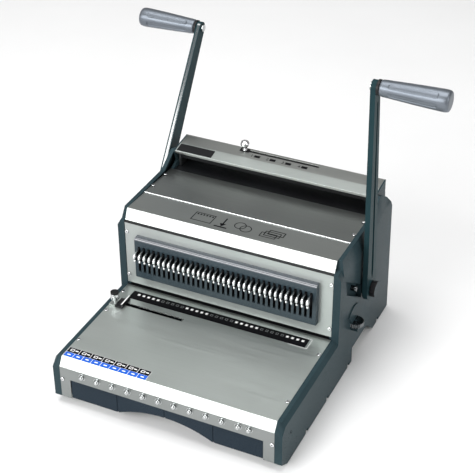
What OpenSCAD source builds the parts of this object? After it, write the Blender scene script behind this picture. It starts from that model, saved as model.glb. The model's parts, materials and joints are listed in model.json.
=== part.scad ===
// Wire binding machine for the desk: punch, wire hooks and wire closer in one body with two levers.
// Millimetres, +X to the machine's right, +Y to its rear, +Z up, resting on Z = 0.

/* [Body] */
// Width of the steel sheets between the side covers
body_w = 348; // [340:1:400]
// Width of each side cover
side_w = 12; // [10:0.5:18]
// Wall of the side covers
side_wall = 2; // [1.5:0.1:3]
// Thickness of the steel sheets
sheet_t = 1.5; // [1:0.1:2]
// Depth of the deck, from the fascia to the front panel
deck_depth = 210; // [190:1:260]
// Height of the deck above the table
deck_h = 85; // [82:0.5:95]
// Depth of the tower, from the front panel to the rear panel
tower_depth = 214; // [208:1:240]
// Height of the front panel
panel_h = 113; // [108:0.5:130]
// Height of the rubber feet
foot_h = 12; // [10:0.5:14]
// Thickness of the base pan
pan_t = 3; // [2:0.1:4]
// Thickness of the inner frame plates
frame_t = 4; // [3:0.1:5]

/* [Punch] */
// Pitch of the holes, three to the inch
pitch = 8.467; // [8.3:0.001:8.6]
// Number of wire hooks and comb slots
hook_n = 35; // [30:1:35]
// Room for a guide post at each end of the row of hooks
hook_room = 29; // [27:0.5:30]
// Side of one square punch pin
pin_s = 4; // [3:0.1:4.5]
// Height of the paper throat
throat_h = 5; // [4.6:0.1:7]
// Distance of the punch line behind the front panel
punch_depth = 36; // [32:0.5:40]
// Turn of the punching lever from rest to its stop, in degrees
punch_turn = 75; // [60:1:78]
// Travel of a pull stud
stud_travel = 6; // [3:0.5:8]

/* [Closer] */
// Turn of the closing lever from rest to its stop, in degrees
closing_turn = 60; // [45:1:60]
// Height of the throat between the anvil and the press bar
closing_gap = 14.5; // [13.5:0.1:15]
// Travel of the gap selector along its slot
gap_travel = 125; // [90:1:135]

/* [Levers] */
// Length of the punching lever, pivot to grip
punch_len = 358; // [300:1:400]
// Forward lean of the punching lever at rest, in degrees
punch_lean = 4.4; // [0:0.1:8]
// Length of the closing lever, pivot to grip
closing_len = 328; // [300:1:400]
// Rearward lean of the closing lever at rest, in degrees
closing_lean = 33.43; // [25:0.01:40]
// Thickness of the lever arms
arm_t = 8; // [6:0.5:10]
// Width of a lever arm at the grip
arm_tip_w = 20; // [18:0.5:26]
// Width of a lever arm at the pivot
arm_hub_w = 38; // [32:0.5:44]
// Radius of the lever shafts
shaft_r = 7; // [6:0.1:7.5]
// Length of a grip
grip_len = 100; // [80:1:130]
// Radius of a grip at its inner end
grip_in_r = 12; // [10:0.5:14]
// Radius of a grip at its outer end
grip_out_r = 16; // [14:0.5:20]
// Radius of the spindle that a grip turns on
spindle_r = 5; // [4:0.1:6]

/* [Front pieces] */
// Travel of the edge guide along its slot
guide_travel = 95; // [60:1:100]
// Shift of the backstop each way
backstop_shift = 2; // [1:0.1:2.5]

/* [Fits] */
// Radial clearance of a shaft in its bore
run_fit = 0.05; // [0.02:0.01:0.08]
// Clearance between sliding flat faces
slide_fit = 0.3; // [0.2:0.05:0.4]
// Backlash on each flank of the racks and pinions
gear_play = 0.08; // [0.05:0.01:0.12]

/* [Hidden] */
$fn = 48;
steel = [0.66, 0.67, 0.66];
bright = [0.85, 0.86, 0.87];
teal = [0.20, 0.27, 0.29];
slate = [0.22, 0.25, 0.29];
black = [0.07, 0.07, 0.08];
grip_grey = [0.55, 0.57, 0.60];

// Widths
half_w = body_w / 2;
side_x = half_w + side_w;
frame_in = half_w - frame_t;

// Heights
side_lift = 2;
pan_top = foot_h + pan_t;
fascia_z = foot_h + 2;
bend_h = 15;
bend_run = 9.5;
fascia_top = deck_h - bend_h;
drawer_top = fascia_top - 20.5;
panel_z = deck_h + throat_h;
panel_top = panel_z + panel_h;

// Depths
panel_y = deck_depth;
rear_y = panel_y + tower_depth;

// Top cover: its front bevel, its fall to the rear and its seam
cover_low = [panel_y + 2.5, panel_top + 1.5];
cover_high = [panel_y + 11, panel_top + 18.7];
cover_seam_y = panel_y + 65;
cover_rear = [rear_y - 59.5, panel_top + 12.7];
cover_step = 1.2;
cover_lap = 6;
cover_slope = (cover_rear[1] - cover_high[1]) / (cover_rear[0] - cover_high[0]);
function cover_z(y) = cover_high[1] + cover_slope * (y - cover_high[0]);
lap_end = [cover_seam_y + cover_lap, cover_z(cover_seam_y + cover_lap)];
rear_sheet_slope = cover_slope - cover_step / (cover_rear[0] - cover_seam_y);
function rear_sheet_z(y) = cover_rear[1] + rear_sheet_slope * (y - cover_rear[0]);

// Closer bar above the closing throat
lip = [rear_y - 46, panel_top + 39];
crease = [rear_y - 25, panel_top + 43];
crown = [rear_y, panel_top + 46];
ear_z = panel_top + 19;
lip_drop = 4;
end_t = 2;
anvil_top = panel_top + 9;
anvil_t = 12;
anvil_y = [cover_rear[0] + 2.5, rear_y - 12];
press_y = [rear_y - 38, rear_y - 16];
press_z = anvil_top + closing_gap;
press_h = 13;

// Racks and pinions, module 1
gear_teeth = 21;
gear_r = gear_teeth / 2;
gear_p = PI;
gear_angle = 20;
gear_tip = 1;
gear_root = 1.25;
punch_stroke = gear_r * punch_turn * PI / 180;
press_stroke = gear_r * closing_turn * PI / 180;

// Punch head, from the die up to the beam
hooks = min(hook_n, 1 + floor((body_w - 2 * hook_room) / pitch));
pin_n = hooks - 1;
function hook_x(i) = (i - pin_n / 2) * pitch;
punch_y = panel_y + punch_depth;
die_t = 8;
die_y = [panel_y + 4, punch_y + 26];
stripper_t = 10;
stripper_y = [punch_y - 20, punch_y + 24];
stripper_top = panel_z + stripper_t;
pin_lift = 1;
beam_gap = 28;
beam_h = 22;
beam_y = [punch_y - 10, punch_y + 10];
beam_z = stripper_top + beam_gap;
post_r = 6;
post_x = frame_in - 12;
post_collar_r = 7.5;
punch_rack_x = [frame_in - 34, frame_in - 28];

// Lever pivots and grips, as [y, z]
punch_pivot = [panel_y + 103, beam_z - 7];
closing_pivot = punch_pivot + [27, 1];
punch_end = punch_pivot + punch_len * [-sin(punch_lean), cos(punch_lean)];
closing_end = closing_pivot + closing_len * [sin(closing_lean), cos(closing_lean)];
arm_gap = 4;
arm_x = side_x + arm_gap;
arm_out = arm_x + arm_t;
collar_t = 4;
bolt_head_r = 6;
collar_r = 11.5;
grip_x = arm_out + collar_t + slide_fit;
hub_cap_r = 13;
hub_cap_t = 9;
bush_r = shaft_r + 3;
bush_len = 7;

// Comb and hooks
comb_half = hook_x(pin_n) + 8;
comb_t = 11;
comb_h = 74;
comb_y = panel_y - comb_t;
comb_z = [panel_z + 20, panel_z + 20 + comb_h];
slot_w = 3;
slot_z = [comb_z[0] + 14.5, comb_z[1] - 14.5];
hook_t = 2.2;
hook_nose = [comb_y - 17, slot_z[1] - 7.5];
hook_neck = 15;

// Pull studs, one for every three pins, with the last stud at the last pin
stud_n = ceil(pin_n / 3);
function stud_x(i) = i < stud_n ? hook_x(3 * i - 2) : hook_x(pin_n - 1);
stud_z = fascia_top - 7.5;
stud_r = 4;
stud_h = 5.5;
stud_rod_r = 2.5;
rail_y = 40;
rail_t = 4;

// Drawer
drawer_half = half_w - 17.5;
drawer_face_y = 1;
drawer_face_t = 4;
drawer_gap = 0.5;
drawer_wall = 2;
drawer_rear = punch_y + 26;
arch_half = 76.5;
arch_h = 17.5;
arch_r = (arch_half * arch_half + arch_h * arch_h) / (2 * arch_h);
finger_half = 85;
finger_depth = 25;

// Edge guide
guide_y = panel_y - 50;
guide_slot_w = 5.6;
guide_base = [half_w - 1.5, half_w - 25];
guide_tongue = [half_w - 4, half_w - 24];
guide_knob_at = [-(half_w - 8), guide_y - 5];
guide_screw_r = 2.5;
guide_base_t = 3;

// Gap selector
gap_y = rear_y - 7;
gap_x = -64.5;
gap_slot_w = 4;
gap_neck_w = 3.4;
gap_foot_z = crown[1] + 0.3;

// Margin dial and the window beside the punching lever
dial_at = [side_x + 3, panel_y + 64];
dial_r = 13;
dial_t = 7;
dial_z = deck_h - 9;
dial_pin_r = 2.5;
shelf_t = 3.5;
hood_at = [panel_y + 60, dial_z + 5];
hood_r = 31;
hood_t = 1.6;
window = [for (p = [[-84, 62], [-76, 32], [-12, -13], [-15, 14]]) punch_pivot + p];
stop_pin_at = punch_pivot + [-37, 19];
stop_pin_r = 4;
boss_r = 6;
boss_in = 24;
boss_at = [
    [boss_in + 6, fascia_top - 20], [panel_y - boss_in, fascia_top - 20],
    [panel_y + boss_in / 2, panel_top - 25], [rear_y - boss_in, fascia_top - 10],
    [rear_y - boss_in, panel_top - 13]
];

// Springs round the guide posts
spring_r = 8.5;
spring_wire_r = 0.9;
spring_turns = 6;

// Middle of the whole depth, studs in front to the closing grip behind
front_reach = -slide_fit - stud_h;
rear_reach = closing_end[0] + grip_out_r;
mid_y = (front_reach + rear_reach) / 2;

STUDS = [for (i = [1:stud_n]) str("pull_stud_", i)];

// Moves a piece drawn from the fascia into the part's own frame
module place() {
    translate([0, -mid_y, 0])
        children();
}

module box(low, high) {
    translate(low)
        cube(high - low);
}

// A [y, z] outline with its thickness along X
module slab(x0, x1) {
    translate([x0, 0, 0])
        rotate([90, 0, 90])
            linear_extrude(x1 - x0)
                children();
}

// A rod along X through the point [y, z]
module rod_x(at, r, x0, x1) {
    translate([x0, at[0], at[1]])
        rotate([0, 90, 0])
            cylinder(r = r, h = x1 - x0);
}

// A rod along Y through the point [x, z]
module rod_y(at, r, y0, y1) {
    translate([at[0], y0, at[1]])
        rotate([-90, 0, 0])
            cylinder(r = r, h = y1 - y0);
}

module both_sides() {
    children();
    mirror([1, 0, 0])
        children();
}

function unit(v) = v / norm(v);
function left_of(v) = [-v[1], v[0]];

// An outline drawn in by d all round
function inset(p, d) = [
    for (i = [0:len(p) - 1])
        let (before = p[(i + len(p) - 1) % len(p)], after = p[(i + 1) % len(p)])
            let (n = left_of(unit(p[i] - before)), m = left_of(unit(after - p[i])))
                p[i] + d * (n + m) / (1 + n * m)
];

// Faces that join rings of points in turn, closed at both ends by the faces in cap
function loft_faces(rings, sides, cap) = concat(
    cap,
    [for (k = [0:rings - 2]) for (j = [0:sides - 1]) for (half = [0, 1])
        let (n = (j + 1) % sides, a = k * sides, b = a + sides)
            half == 0 ? [a + j, b + j, b + n] : [a + j, b + n, a + n]],
    [for (c = cap) [for (k = [len(c) - 1:-1:0]) (rings - 1) * sides + c[k]]]
);

// Side outline of the covers, from the front foot round by the rear
notch_y = [panel_y - 122, panel_y - 42, panel_y + 45, rear_y - 38];
notch_w = 8;
notch_h = 6;
arch_y = [panel_y + 63, panel_y + 125];
arch_top = side_lift + 27;
heel_y = [rear_y - 56, rear_y + 13];
function side_outline() = [
    [0, fascia_z], [20, side_lift], [arch_y[0], side_lift], [arch_y[0], arch_top],
    [arch_y[1], arch_top], [heel_y[0], side_lift], [heel_y[1], side_lift],
    [rear_y + 6, (deck_h + panel_top) / 2], [rear_y + 3.5, panel_top],
    [rear_y - 9, panel_top + 21], [rear_y - 29, panel_top + 34.5],
    [rear_y - 41.5, panel_top + 39.5], [rear_y - 48, panel_top + 37],
    [rear_y - 79, panel_top + 18.5], [cover_high[0] + 4, panel_top + 18.5],
    [cover_high[0] + 1, panel_top + 4], [panel_y - 1, panel_top + 1.5], [panel_y - 1, deck_h],
    [bend_run, deck_h], [0, fascia_top]
];

// How far each corner of the outline moves in across the bevel, from the rim to the outer face
rim_flat = 6.5;
deck_bevel = 7;
bevel_shift = concat(
    [for (i = [0:8]) [0, 0]],
    [[6, -10], [5, -22.5], [3.5, -29.5], [3, -29.5], [6, -25], [1, -25], [-1, -11], [0, -9.5]],
    [[0, -deck_bevel], [1.5, -deck_bevel], [0, -deck_bevel / 2]]
);

// The outline cut into convex faces, by the numbers of its corners
side_caps = [
    [0, 1, 2, 3, 17, 18, 19], [3, 4, 13, 14, 15, 17], [15, 16, 17], [4, 5, 6, 7, 8, 9, 10, 11, 12, 13]
];

// The outline as a form with a flat rim and a bevelled outer edge, drawn in by d
module side_form(x0, d) {
    p = inset(side_outline(), d);
    q = inset(side_outline() + bevel_shift, d);
    polyhedron(
        points = concat(
            [for (x = [x0, half_w + rim_flat - d]) for (at = p) [x, at[0], at[1]]],
            [for (at = q) [side_x - d, at[0], at[1]]]
        ),
        faces = loft_faces(3, len(p), side_caps)
    );
}

// Side cover: a wall with a rim round it and bosses for the inner frame
module side_shell() {
    difference() {
        side_form(half_w, 0);
        side_form(half_w - side_wall - 1, side_wall);
        for (y = notch_y)
            box([half_w + 1, y, side_lift - 1], [side_x + 1, y + notch_w, side_lift + notch_h]);
    }
    for (at = boss_at)
        rod_x(at, boss_r, half_w, side_x - side_wall / 2);
}

module left_side_cover() {
    color(teal) place() mirror([1, 0, 0]) difference() {
        side_shell();
        rod_x(closing_pivot, shaft_r + 1.5, half_w - 1, side_x + 1);
    }
}

module right_side_cover() {
    color(teal) place() {
        difference() {
            union() {
                side_shell();
                slab(side_x - side_wall, side_x + hood_t) intersection() {
                    translate(hood_at)
                        circle(hood_r);
                    translate([hood_at[0] - hood_r, dial_z + dial_t + 1])
                        polygon([[22, 0], [2 * hood_r, 0], [2 * hood_r, hood_r], [8, hood_r], [8, 20]]);
                }
            }
            rod_x(punch_pivot, shaft_r + 1.5, half_w - 1, side_x + 1);
            slab(side_x - side_wall - 1, side_x + 1)
                polygon(window);
            box([half_w + 1, dial_at[1] - dial_r - 2, dial_z - slide_fit],
                [side_x + 1, dial_at[1] + dial_r + 2, dial_z + dial_t + 1]);
        }
        box([side_x - side_wall, dial_at[1] - dial_r, dial_z - slide_fit - shelf_t],
            [dial_at[0] + 8, dial_at[1] + dial_r, dial_z - slide_fit]);
        translate([dial_at[0], dial_at[1], dial_z - slide_fit - shelf_t])
            cylinder(r = dial_pin_r, h = dial_t + shelf_t + 2 * slide_fit);
    }
}

// Inner frame plate, which carries the shafts, the die and the sheets
function frame_outline() = [
    [sheet_t, pan_top], [rear_y, pan_top], [rear_y, ear_z], [lip[0] + 4, ear_z],
    [cover_rear[0] + 1, cover_rear[1] - sheet_t - 0.5],
    [cover_high[0] + 2, cover_high[1] - sheet_t - 0.5],
    [cover_low[0] + 2, panel_top], [panel_y + sheet_t, panel_top],
    [panel_y + sheet_t, deck_h - sheet_t], [bend_run + 2, deck_h - sheet_t], [sheet_t + 1, fascia_top - 2]
];

module inner_frame() {
    difference() {
        slab(frame_in, half_w)
            polygon(frame_outline());
        for (pivot = [punch_pivot, closing_pivot])
            rod_x(pivot, bush_r + run_fit, frame_in - 1, half_w + 1);
    }
}

module left_inner_frame() {
    color(teal) place() mirror([1, 0, 0])
        inner_frame();
}

module right_inner_frame() {
    color(teal) place()
        inner_frame();
}

module base_pan() {
    color(steel) place() difference() {
        box([-half_w, 8, foot_h], [half_w, rear_y, pan_top]);
        box([-finger_half, 7, foot_h - 1], [finger_half, finger_depth + 3, pan_top + 1]);
    }
}

foot_r = 11;
foot_x = half_w - 24;
module rubber_feet() {
    color(black) place() both_sides()
        for (y = [45, deck_depth, rear_y - 24])
            translate([foot_x, y, 0])
                cylinder(r = foot_r, h = foot_h);
}

// Deck sheet with its bent front edge and the slot of the edge guide
module deck_plate() {
    slot_x = [-guide_tongue[0] - 2, -guide_tongue[1] + guide_travel + 3];
    color(steel) place() difference() {
        slab(-half_w, half_w) polygon([
            [0, fascia_top], [bend_run, deck_h], [die_y[0] - slide_fit, deck_h],
            [die_y[0] - slide_fit, deck_h - sheet_t], [bend_run + 0.8, deck_h - sheet_t],
            [sheet_t + 0.2, fascia_top]
        ]);
        box([slot_x[0], guide_y - guide_slot_w / 2, deck_h - sheet_t - 1],
            [slot_x[1], guide_y + guide_slot_w / 2, deck_h + 1]);
        both_sides()
            box([frame_in, panel_y + sheet_t, deck_h - sheet_t - 1], [half_w + 1, die_y[0], deck_h + 1]);
    }
}

module fascia_plate() {
    color(steel) place() difference() {
        box([-half_w, 0, fascia_z], [half_w, sheet_t, fascia_top]);
        box([-drawer_half - drawer_gap, -1, fascia_z - 1],
            [drawer_half + drawer_gap, sheet_t + 1, drawer_top]);
        for (i = [1:stud_n])
            rod_y([stud_x(i), stud_z], stud_rod_r + run_fit, -1, sheet_t + 1);
    }
}

// Front panel with its folded edges and the window behind the comb
module front_panel() {
    fold = 4;
    color(steel) place() difference() {
        slab(-half_w, half_w) polygon([
            [panel_y, panel_z], [panel_y + fold, panel_z], [panel_y + fold, panel_z + sheet_t],
            [panel_y + sheet_t, panel_z + sheet_t], [panel_y + sheet_t, panel_top], [panel_y, panel_top]
        ]);
        box([-half_w - 1, panel_y + sheet_t, panel_z - 1], [-frame_in, panel_y + fold + 1, panel_z + 3]);
        box([frame_in, panel_y + sheet_t, panel_z - 1], [half_w + 1, panel_y + fold + 1, panel_z + 3]);
        box([-comb_half + 4, panel_y - 1, slot_z[0]], [comb_half - 4, panel_y + sheet_t + 1, slot_z[1]]);
    }
}

module top_cover_front() {
    color(steel) place()
        slab(-half_w, half_w) polygon([
            cover_low, cover_high, lap_end, lap_end - [0, sheet_t],
            cover_high + [1, -sheet_t], cover_low + [1.6, 0]
        ]);
}

// Rear sheet of the top, lapped over the front one, with its edge turned down at the throat
module top_cover_rear() {
    turn = 9;
    color(steel) place() {
        slab(-half_w, half_w) polygon([
            [cover_seam_y, cover_z(cover_seam_y)], [cover_seam_y, rear_sheet_z(cover_seam_y)], cover_rear,
            cover_rear - [0, sheet_t], lap_end - [0, sheet_t], lap_end
        ]);
        box([-frame_in, cover_rear[0] - sheet_t, cover_rear[1] - turn],
            [frame_in, cover_rear[0], cover_rear[1] - sheet_t / 2]);
    }
}

module rear_panel() {
    color(steel) place()
        box([-half_w, rear_y, pan_top], [half_w, rear_y + sheet_t, ear_z + 4]);
}

// Steel hood over the closing throat, with the slot of the gap selector
module closer_housing() {
    wall_y = rear_y - sheet_t;
    color(steel) place() difference() {
        slab(end_t - half_w, half_w - end_t) polygon([
            lip, crease, crown, [rear_y, ear_z], [wall_y, ear_z], [wall_y, crown[1] - sheet_t - 0.2],
            crease - [0, sheet_t], lip + [sheet_t, 0.3 - sheet_t], lip + [sheet_t, -lip_drop],
            lip - [0, lip_drop]
        ]);
        box([gap_x - 4, gap_y - gap_slot_w / 2, ear_z + 10],
            [gap_x + gap_travel + 4, gap_y + gap_slot_w / 2, crown[1] + 1]);
    }
}

module closer_end_plates() {
    color(teal) place() both_sides()
        slab(half_w - end_t, half_w) polygon([
            [rear_y, ear_z], crown, crease, lip, lip - [0, lip_drop], [lip[0] + 4, ear_z]
        ]);
}

// Screw heads on the sheets, and the chrome stop pin in the window
screw_r = 3;
screw_h = 1.2;
screw_in = 3.5;
module screw_up(x, y, z) {
    translate([x, y, z])
        cylinder(r1 = screw_r, r2 = screw_r * 0.7, h = screw_h);
}

module screw_front(x, y, z) {
    translate([x, y, z])
        rotate([90, 0, 0])
            cylinder(r1 = screw_r, r2 = screw_r * 0.7, h = screw_h);
}

module housing_screws() {
    x = half_w - screw_in;
    color(bright) place() {
        for (y = [52, guide_y - 26, guide_y + 28])
            screw_up(-x, y, deck_h);
        for (y = [53, guide_y + 10])
            screw_up(x, y, deck_h);
        both_sides() {
            for (z = [panel_z + 15, panel_z + 95])
                screw_front(x, panel_y, z);
            screw_front(x, 0, drawer_top - 2);
            for (y = [cover_seam_y + 24, cover_seam_y + 65])
                translate([x, y, rear_sheet_z(y)])
                    rotate([atan(rear_sheet_slope), 0, 0])
                        screw_up(0, 0, 0);
        }
        rod_x(stop_pin_at, stop_pin_r, half_w, side_x + 2);
    }
}

module comb_block() {
    chamfer = 3;
    color(slate) place() difference() {
        slab(-comb_half, comb_half) polygon([
            [panel_y, comb_z[0]], [panel_y, comb_z[1]], [comb_y + 4.5, comb_z[1]],
            [comb_y + 1.5, comb_z[1] - 1.2], [comb_y, comb_z[1] - 3.8],
            [comb_y, comb_z[0] + chamfer], [comb_y + chamfer, comb_z[0]]
        ]);
        for (i = [0:pin_n])
            box([hook_x(i) - slot_w / 2, comb_y - 1, slot_z[0]],
                [hook_x(i) + slot_w / 2, panel_y + 1, slot_z[1]]);
        both_sides()
            translate([comb_half, comb_y, 0])
                rotate([0, 0, 45])
                    translate([-chamfer, -chamfer, comb_z[0] - 1])
                        cube([2 * chamfer, 2 * chamfer, comb_z[1] - comb_z[0] + 2] - [chamfer, chamfer, 0]);
    }
}

// One hook plate: a neck from the bar, a round nose and a small lower lip
module hook_outline() {
    bar_y = panel_y + sheet_t;
    polygon([
        [bar_y + 1, hook_nose[1] - hook_neck + 4], [bar_y + 1, hook_nose[1] + 6], [comb_y, hook_nose[1] + 6],
        hook_nose + [3, 4], hook_nose + [3, -4], hook_nose + [8, -5], hook_nose + [9, -8],
        hook_nose + [3.5, -10.5], hook_nose + [9, -11]
    ]);
    translate(hook_nose + [3.5, 0])
        circle(4);
    translate(hook_nose + [3.5, -8.5])
        circle(2.4);
}

module hook_rack() {
    bar_y = panel_y + sheet_t;
    color(bright) place() {
        box([-comb_half - 4, bar_y, hook_nose[1] - hook_neck], [comb_half + 4, bar_y + 6, hook_nose[1] + 7]);
        for (i = [0:pin_n])
            slab(hook_x(i) - hook_t / 2, hook_x(i) + hook_t / 2)
                hook_outline();
    }
}

// Die plate, with one square hole for each pin
pin_fit = 0.15;
module pin_holes(z0, z1, fit) {
    r = pin_s / 2 + fit;
    for (i = [0:pin_n - 1])
        box([hook_x(i) - r, punch_y - r, z0], [hook_x(i) + r, punch_y + r, z1]);
}

module die_plate() {
    color(bright) place() difference() {
        box([-frame_in, die_y[0], deck_h - die_t], [frame_in, die_y[1], deck_h]);
        pin_holes(deck_h - die_t - 1, deck_h + 1, pin_fit);
    }
}

rail_h = 17;
module die_rails() {
    color(steel) place()
        for (y = [die_y[0], die_y[1] - 14])
            box([-frame_in, y, deck_h - die_t - rail_h], [frame_in, y + 14, deck_h - die_t]);
}

module stripper_plate() {
    color(bright) place() difference() {
        box([-frame_in, stripper_y[0], panel_z], [frame_in, stripper_y[1], stripper_top]);
        pin_holes(panel_z - 1, stripper_top + 1, pin_fit);
        both_sides()
            translate([post_x, punch_y, panel_z - 1])
                cylinder(r = post_r + run_fit, h = stripper_t + 2);
    }
}

module guide_posts() {
    color(bright) place() both_sides()
        translate([post_x, punch_y, deck_h]) {
            cylinder(r = post_collar_r, h = throat_h);
            cylinder(r = post_r, h = beam_z + beam_h + 15 - deck_h);
        }
}

// A coil of round wire: rings of wire points along a helix, closed at both ends
coil_sides = 6;
coil_steps = 12;
function coil_point(k, j, len) =
    let (a = 360 * k / coil_steps, w = 360 * j / coil_sides, r = spring_r + spring_wire_r * cos(w))
        [r * cos(a), r * sin(a), spring_wire_r + (len - 2 * spring_wire_r) * k / (coil_steps * spring_turns)
            + spring_wire_r * sin(w)];

module coil(len) {
    rings = coil_steps * spring_turns;
    polyhedron(
        points = [for (k = [0:rings]) for (j = [0:coil_sides - 1]) coil_point(k, j, len)],
        faces = loft_faces(rings + 1, coil_sides, [[for (j = [0:coil_sides - 1]) j]])
    );
}

module return_springs() {
    color(bright) place() both_sides()
        translate([post_x, punch_y, stripper_top + slide_fit])
            coil(beam_gap - 2 * slide_fit);
}

module punch_beam() {
    color(steel) place() difference() {
        box([3 - frame_in, beam_y[0], beam_z], [frame_in - 3, beam_y[1], beam_z + beam_h]);
        both_sides()
            translate([post_x, punch_y, beam_z - 1])
                cylinder(r = post_r + run_fit, h = beam_h + 2);
    }
}

module punch_pins() {
    color(bright) place()
        for (i = [0:pin_n - 1])
            box([hook_x(i) - pin_s / 2, punch_y - pin_s / 2, panel_z + pin_lift],
                [hook_x(i) + pin_s / 2, punch_y + pin_s / 2, beam_z]);
}

// Pinion with involute flanks, one tooth pointing to the front
function to_deg(a) = a * 180 / PI;
function involute(a) = to_deg(tan(a)) - a;
function flank_angle(r) =
    90 / gear_teeth - to_deg(gear_play / gear_r) + involute(gear_angle)
        - involute(acos(min(1, gear_r * cos(gear_angle) / r)));
base_r = gear_r * cos(gear_angle);
flank_r = [for (k = [0:3]) base_r + (gear_r + gear_tip - base_r) * k / 3];
function polar(r, a) = r * [cos(a), sin(a)];
arc_steps = 32;
function arc(at, r, a0, a1) = [for (k = [0:arc_steps]) at + polar(r, a0 + (a1 - a0) * k / arc_steps)];
function tooth(a) = concat(
    [polar(gear_r - gear_root, a - flank_angle(base_r))],
    [for (k = [0:3]) polar(flank_r[k], a - flank_angle(flank_r[k]))],
    [for (k = [3:-1:0]) polar(flank_r[k], a + flank_angle(flank_r[k]))],
    [polar(gear_r - gear_root, a + flank_angle(base_r))]
);

module pinion(pivot, x0, x1) {
    difference() {
        slab(x0, x1)
            translate(pivot)
                polygon([for (k = [0:gear_teeth - 1]) each tooth(180 + 360 * k / gear_teeth)]);
        rod_x(pivot, shaft_r + run_fit, x0 - 1, x1 + 1);
    }
}

// Rack teeth that face the rear, in front of a pinion, from tooth a to tooth b
module rack_teeth(pivot, a, b) {
    y = pivot[0] - gear_r;
    half = gear_p / 4 - gear_play;
    for (k = [a:b])
        let (z = pivot[1] + (k + 0.5) * gear_p)
            polygon([
                [y - gear_root - 0.5, z - half - gear_root * tan(gear_angle)],
                [y - gear_root, z - half - gear_root * tan(gear_angle)],
                [y + gear_tip, z - half + gear_tip * tan(gear_angle)],
                [y + gear_tip, z + half - gear_tip * tan(gear_angle)],
                [y - gear_root, z + half + gear_root * tan(gear_angle)],
                [y - gear_root - 0.5, z + half + gear_root * tan(gear_angle)]
            ]);
}

// Plates from the beam back to the punching shaft, with the racks on their rear edges
rack_low = 3;
function rack_high(stroke) = ceil(stroke / gear_p) + 2;
module punch_racks() {
    back = punch_pivot[0] - gear_r - gear_root;
    teeth = rack_high(punch_stroke);
    color(steel) place() both_sides()
        slab(punch_rack_x[0], punch_rack_x[1]) {
            translate([beam_y[1], beam_z])
                square([back - beam_y[1], beam_h]);
            translate([back - 9, punch_pivot[1] - rack_low * gear_p])
                square([9, (rack_low + teeth + 1) * gear_p]);
            rack_teeth(punch_pivot, -rack_low, teeth);
        }
}

// Press bar and the plates that hang it on the closing shaft
module press_bar() {
    x = frame_in - slide_fit - frame_t;
    color(black) place()
        box([-x, press_y[0], press_z], [x, press_y[1], press_z + press_h]);
}

module press_racks() {
    back = closing_pivot[0] - gear_r - gear_root;
    teeth = rack_high(press_stroke);
    leg_z = closing_pivot[1] + gear_r + gear_tip + press_stroke + 1.5;
    leg_h = 22;
    leg_t = 7;
    x1 = frame_in - slide_fit;
    color(steel) place() both_sides()
        slab(x1 - frame_t, x1) {
            translate([press_y[0] + 1, leg_z])
                square([press_y[1] - press_y[0] - 2, press_z + press_h - leg_z]);
            translate([back - leg_t, leg_z])
                square([press_y[1] - 1 - back + leg_t, leg_h]);
            translate([back - leg_t, closing_pivot[1] - rack_low * gear_p])
                square([leg_t, leg_z + leg_h - closing_pivot[1] + rack_low * gear_p]);
            rack_teeth(closing_pivot, -rack_low, teeth);
        }
}

// Fixed lower jaw of the closing throat, with ears to the frames
module anvil_bar() {
    ear_y = press_y[0] - 1;
    x = frame_in - slide_fit - frame_t - 1;
    color(black) place() {
        box([-x, anvil_y[0], anvil_top - anvil_t], [x, anvil_y[1], anvil_top]);
        box([-frame_in, anvil_y[0], anvil_top - anvil_t], [frame_in, ear_y, anvil_top]);
    }
}

module shaft_bushes() {
    color("goldenrod") place() both_sides()
        for (pivot = [punch_pivot, closing_pivot])
            difference() {
                rod_x(pivot, bush_r, frame_in, frame_in + bush_len);
                rod_x(pivot, shaft_r + run_fit, frame_in - 1, frame_in + bush_len + 1);
            }
}

module selector_rail() {
    color(steel) place() difference() {
        box([-frame_in, rail_y, stud_z - 7], [frame_in, rail_y + rail_t, stud_z + 7]);
        for (i = [1:stud_n])
            rod_y([stud_x(i), stud_z], stud_rod_r + run_fit, rail_y - 1, rail_y + rail_t + 1);
    }
}

// Lever arm: a tapered bar with round ends and a long groove pressed in its outer face
module arm(pivot, end) {
    r1 = arm_hub_w / 2;
    r2 = arm_tip_w / 2;
    span = norm(end - pivot);
    lean = atan2(end[1] - pivot[1], end[0] - pivot[0]);
    swell = acos((r1 - r2) / span);
    groove = [hub_cap_r + 4, span - 24];
    groove_d = 2;
    groove_side = [-0.28, 0.12];
    difference() {
        union() {
            slab(arm_x, arm_out) translate(pivot) rotate(lean)
                polygon(concat(arc([0, 0], r1, swell, 360 - swell), arc([span, 0], r2, -swell, swell)));
            rod_x(pivot, shaft_r + 5, side_x + slide_fit, arm_x);
        }
        slab(arm_out - groove_d, arm_out + 1) translate(pivot) rotate(lean)
            polygon([
                [groove[0], -r1 * 0.08], [groove[0] + 16, r1 * groove_side[0]],
                [groove[1], r2 * groove_side[0]], [groove[1], r2 * groove_side[1]],
                [groove[0] + 16, r1 * groove_side[1]]
            ]);
        rod_x(pivot, shaft_r + run_fit, side_x, arm_out + 1);
        rod_x(end, spindle_r + run_fit, arm_x - 1, arm_out + 1);
    }
}

module lever_shaft(pivot) {
    rod_x(pivot, shaft_r, -half_w + 1, arm_out);
}

module hub_cap(pivot) {
    rod_x(pivot, hub_cap_r, arm_out, arm_out + hub_cap_t, $fn = 8);
}

// Spindle bolt with its head inside the arm and a collar outside it
module grip_bolt(end) {
    rod_x(end, spindle_r, arm_x - 1, grip_x + grip_len - 12);
    rod_x(end, bolt_head_r, arm_x - 3, arm_x);
    rod_x(end, collar_r, arm_out, arm_out + collar_t);
}

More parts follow.
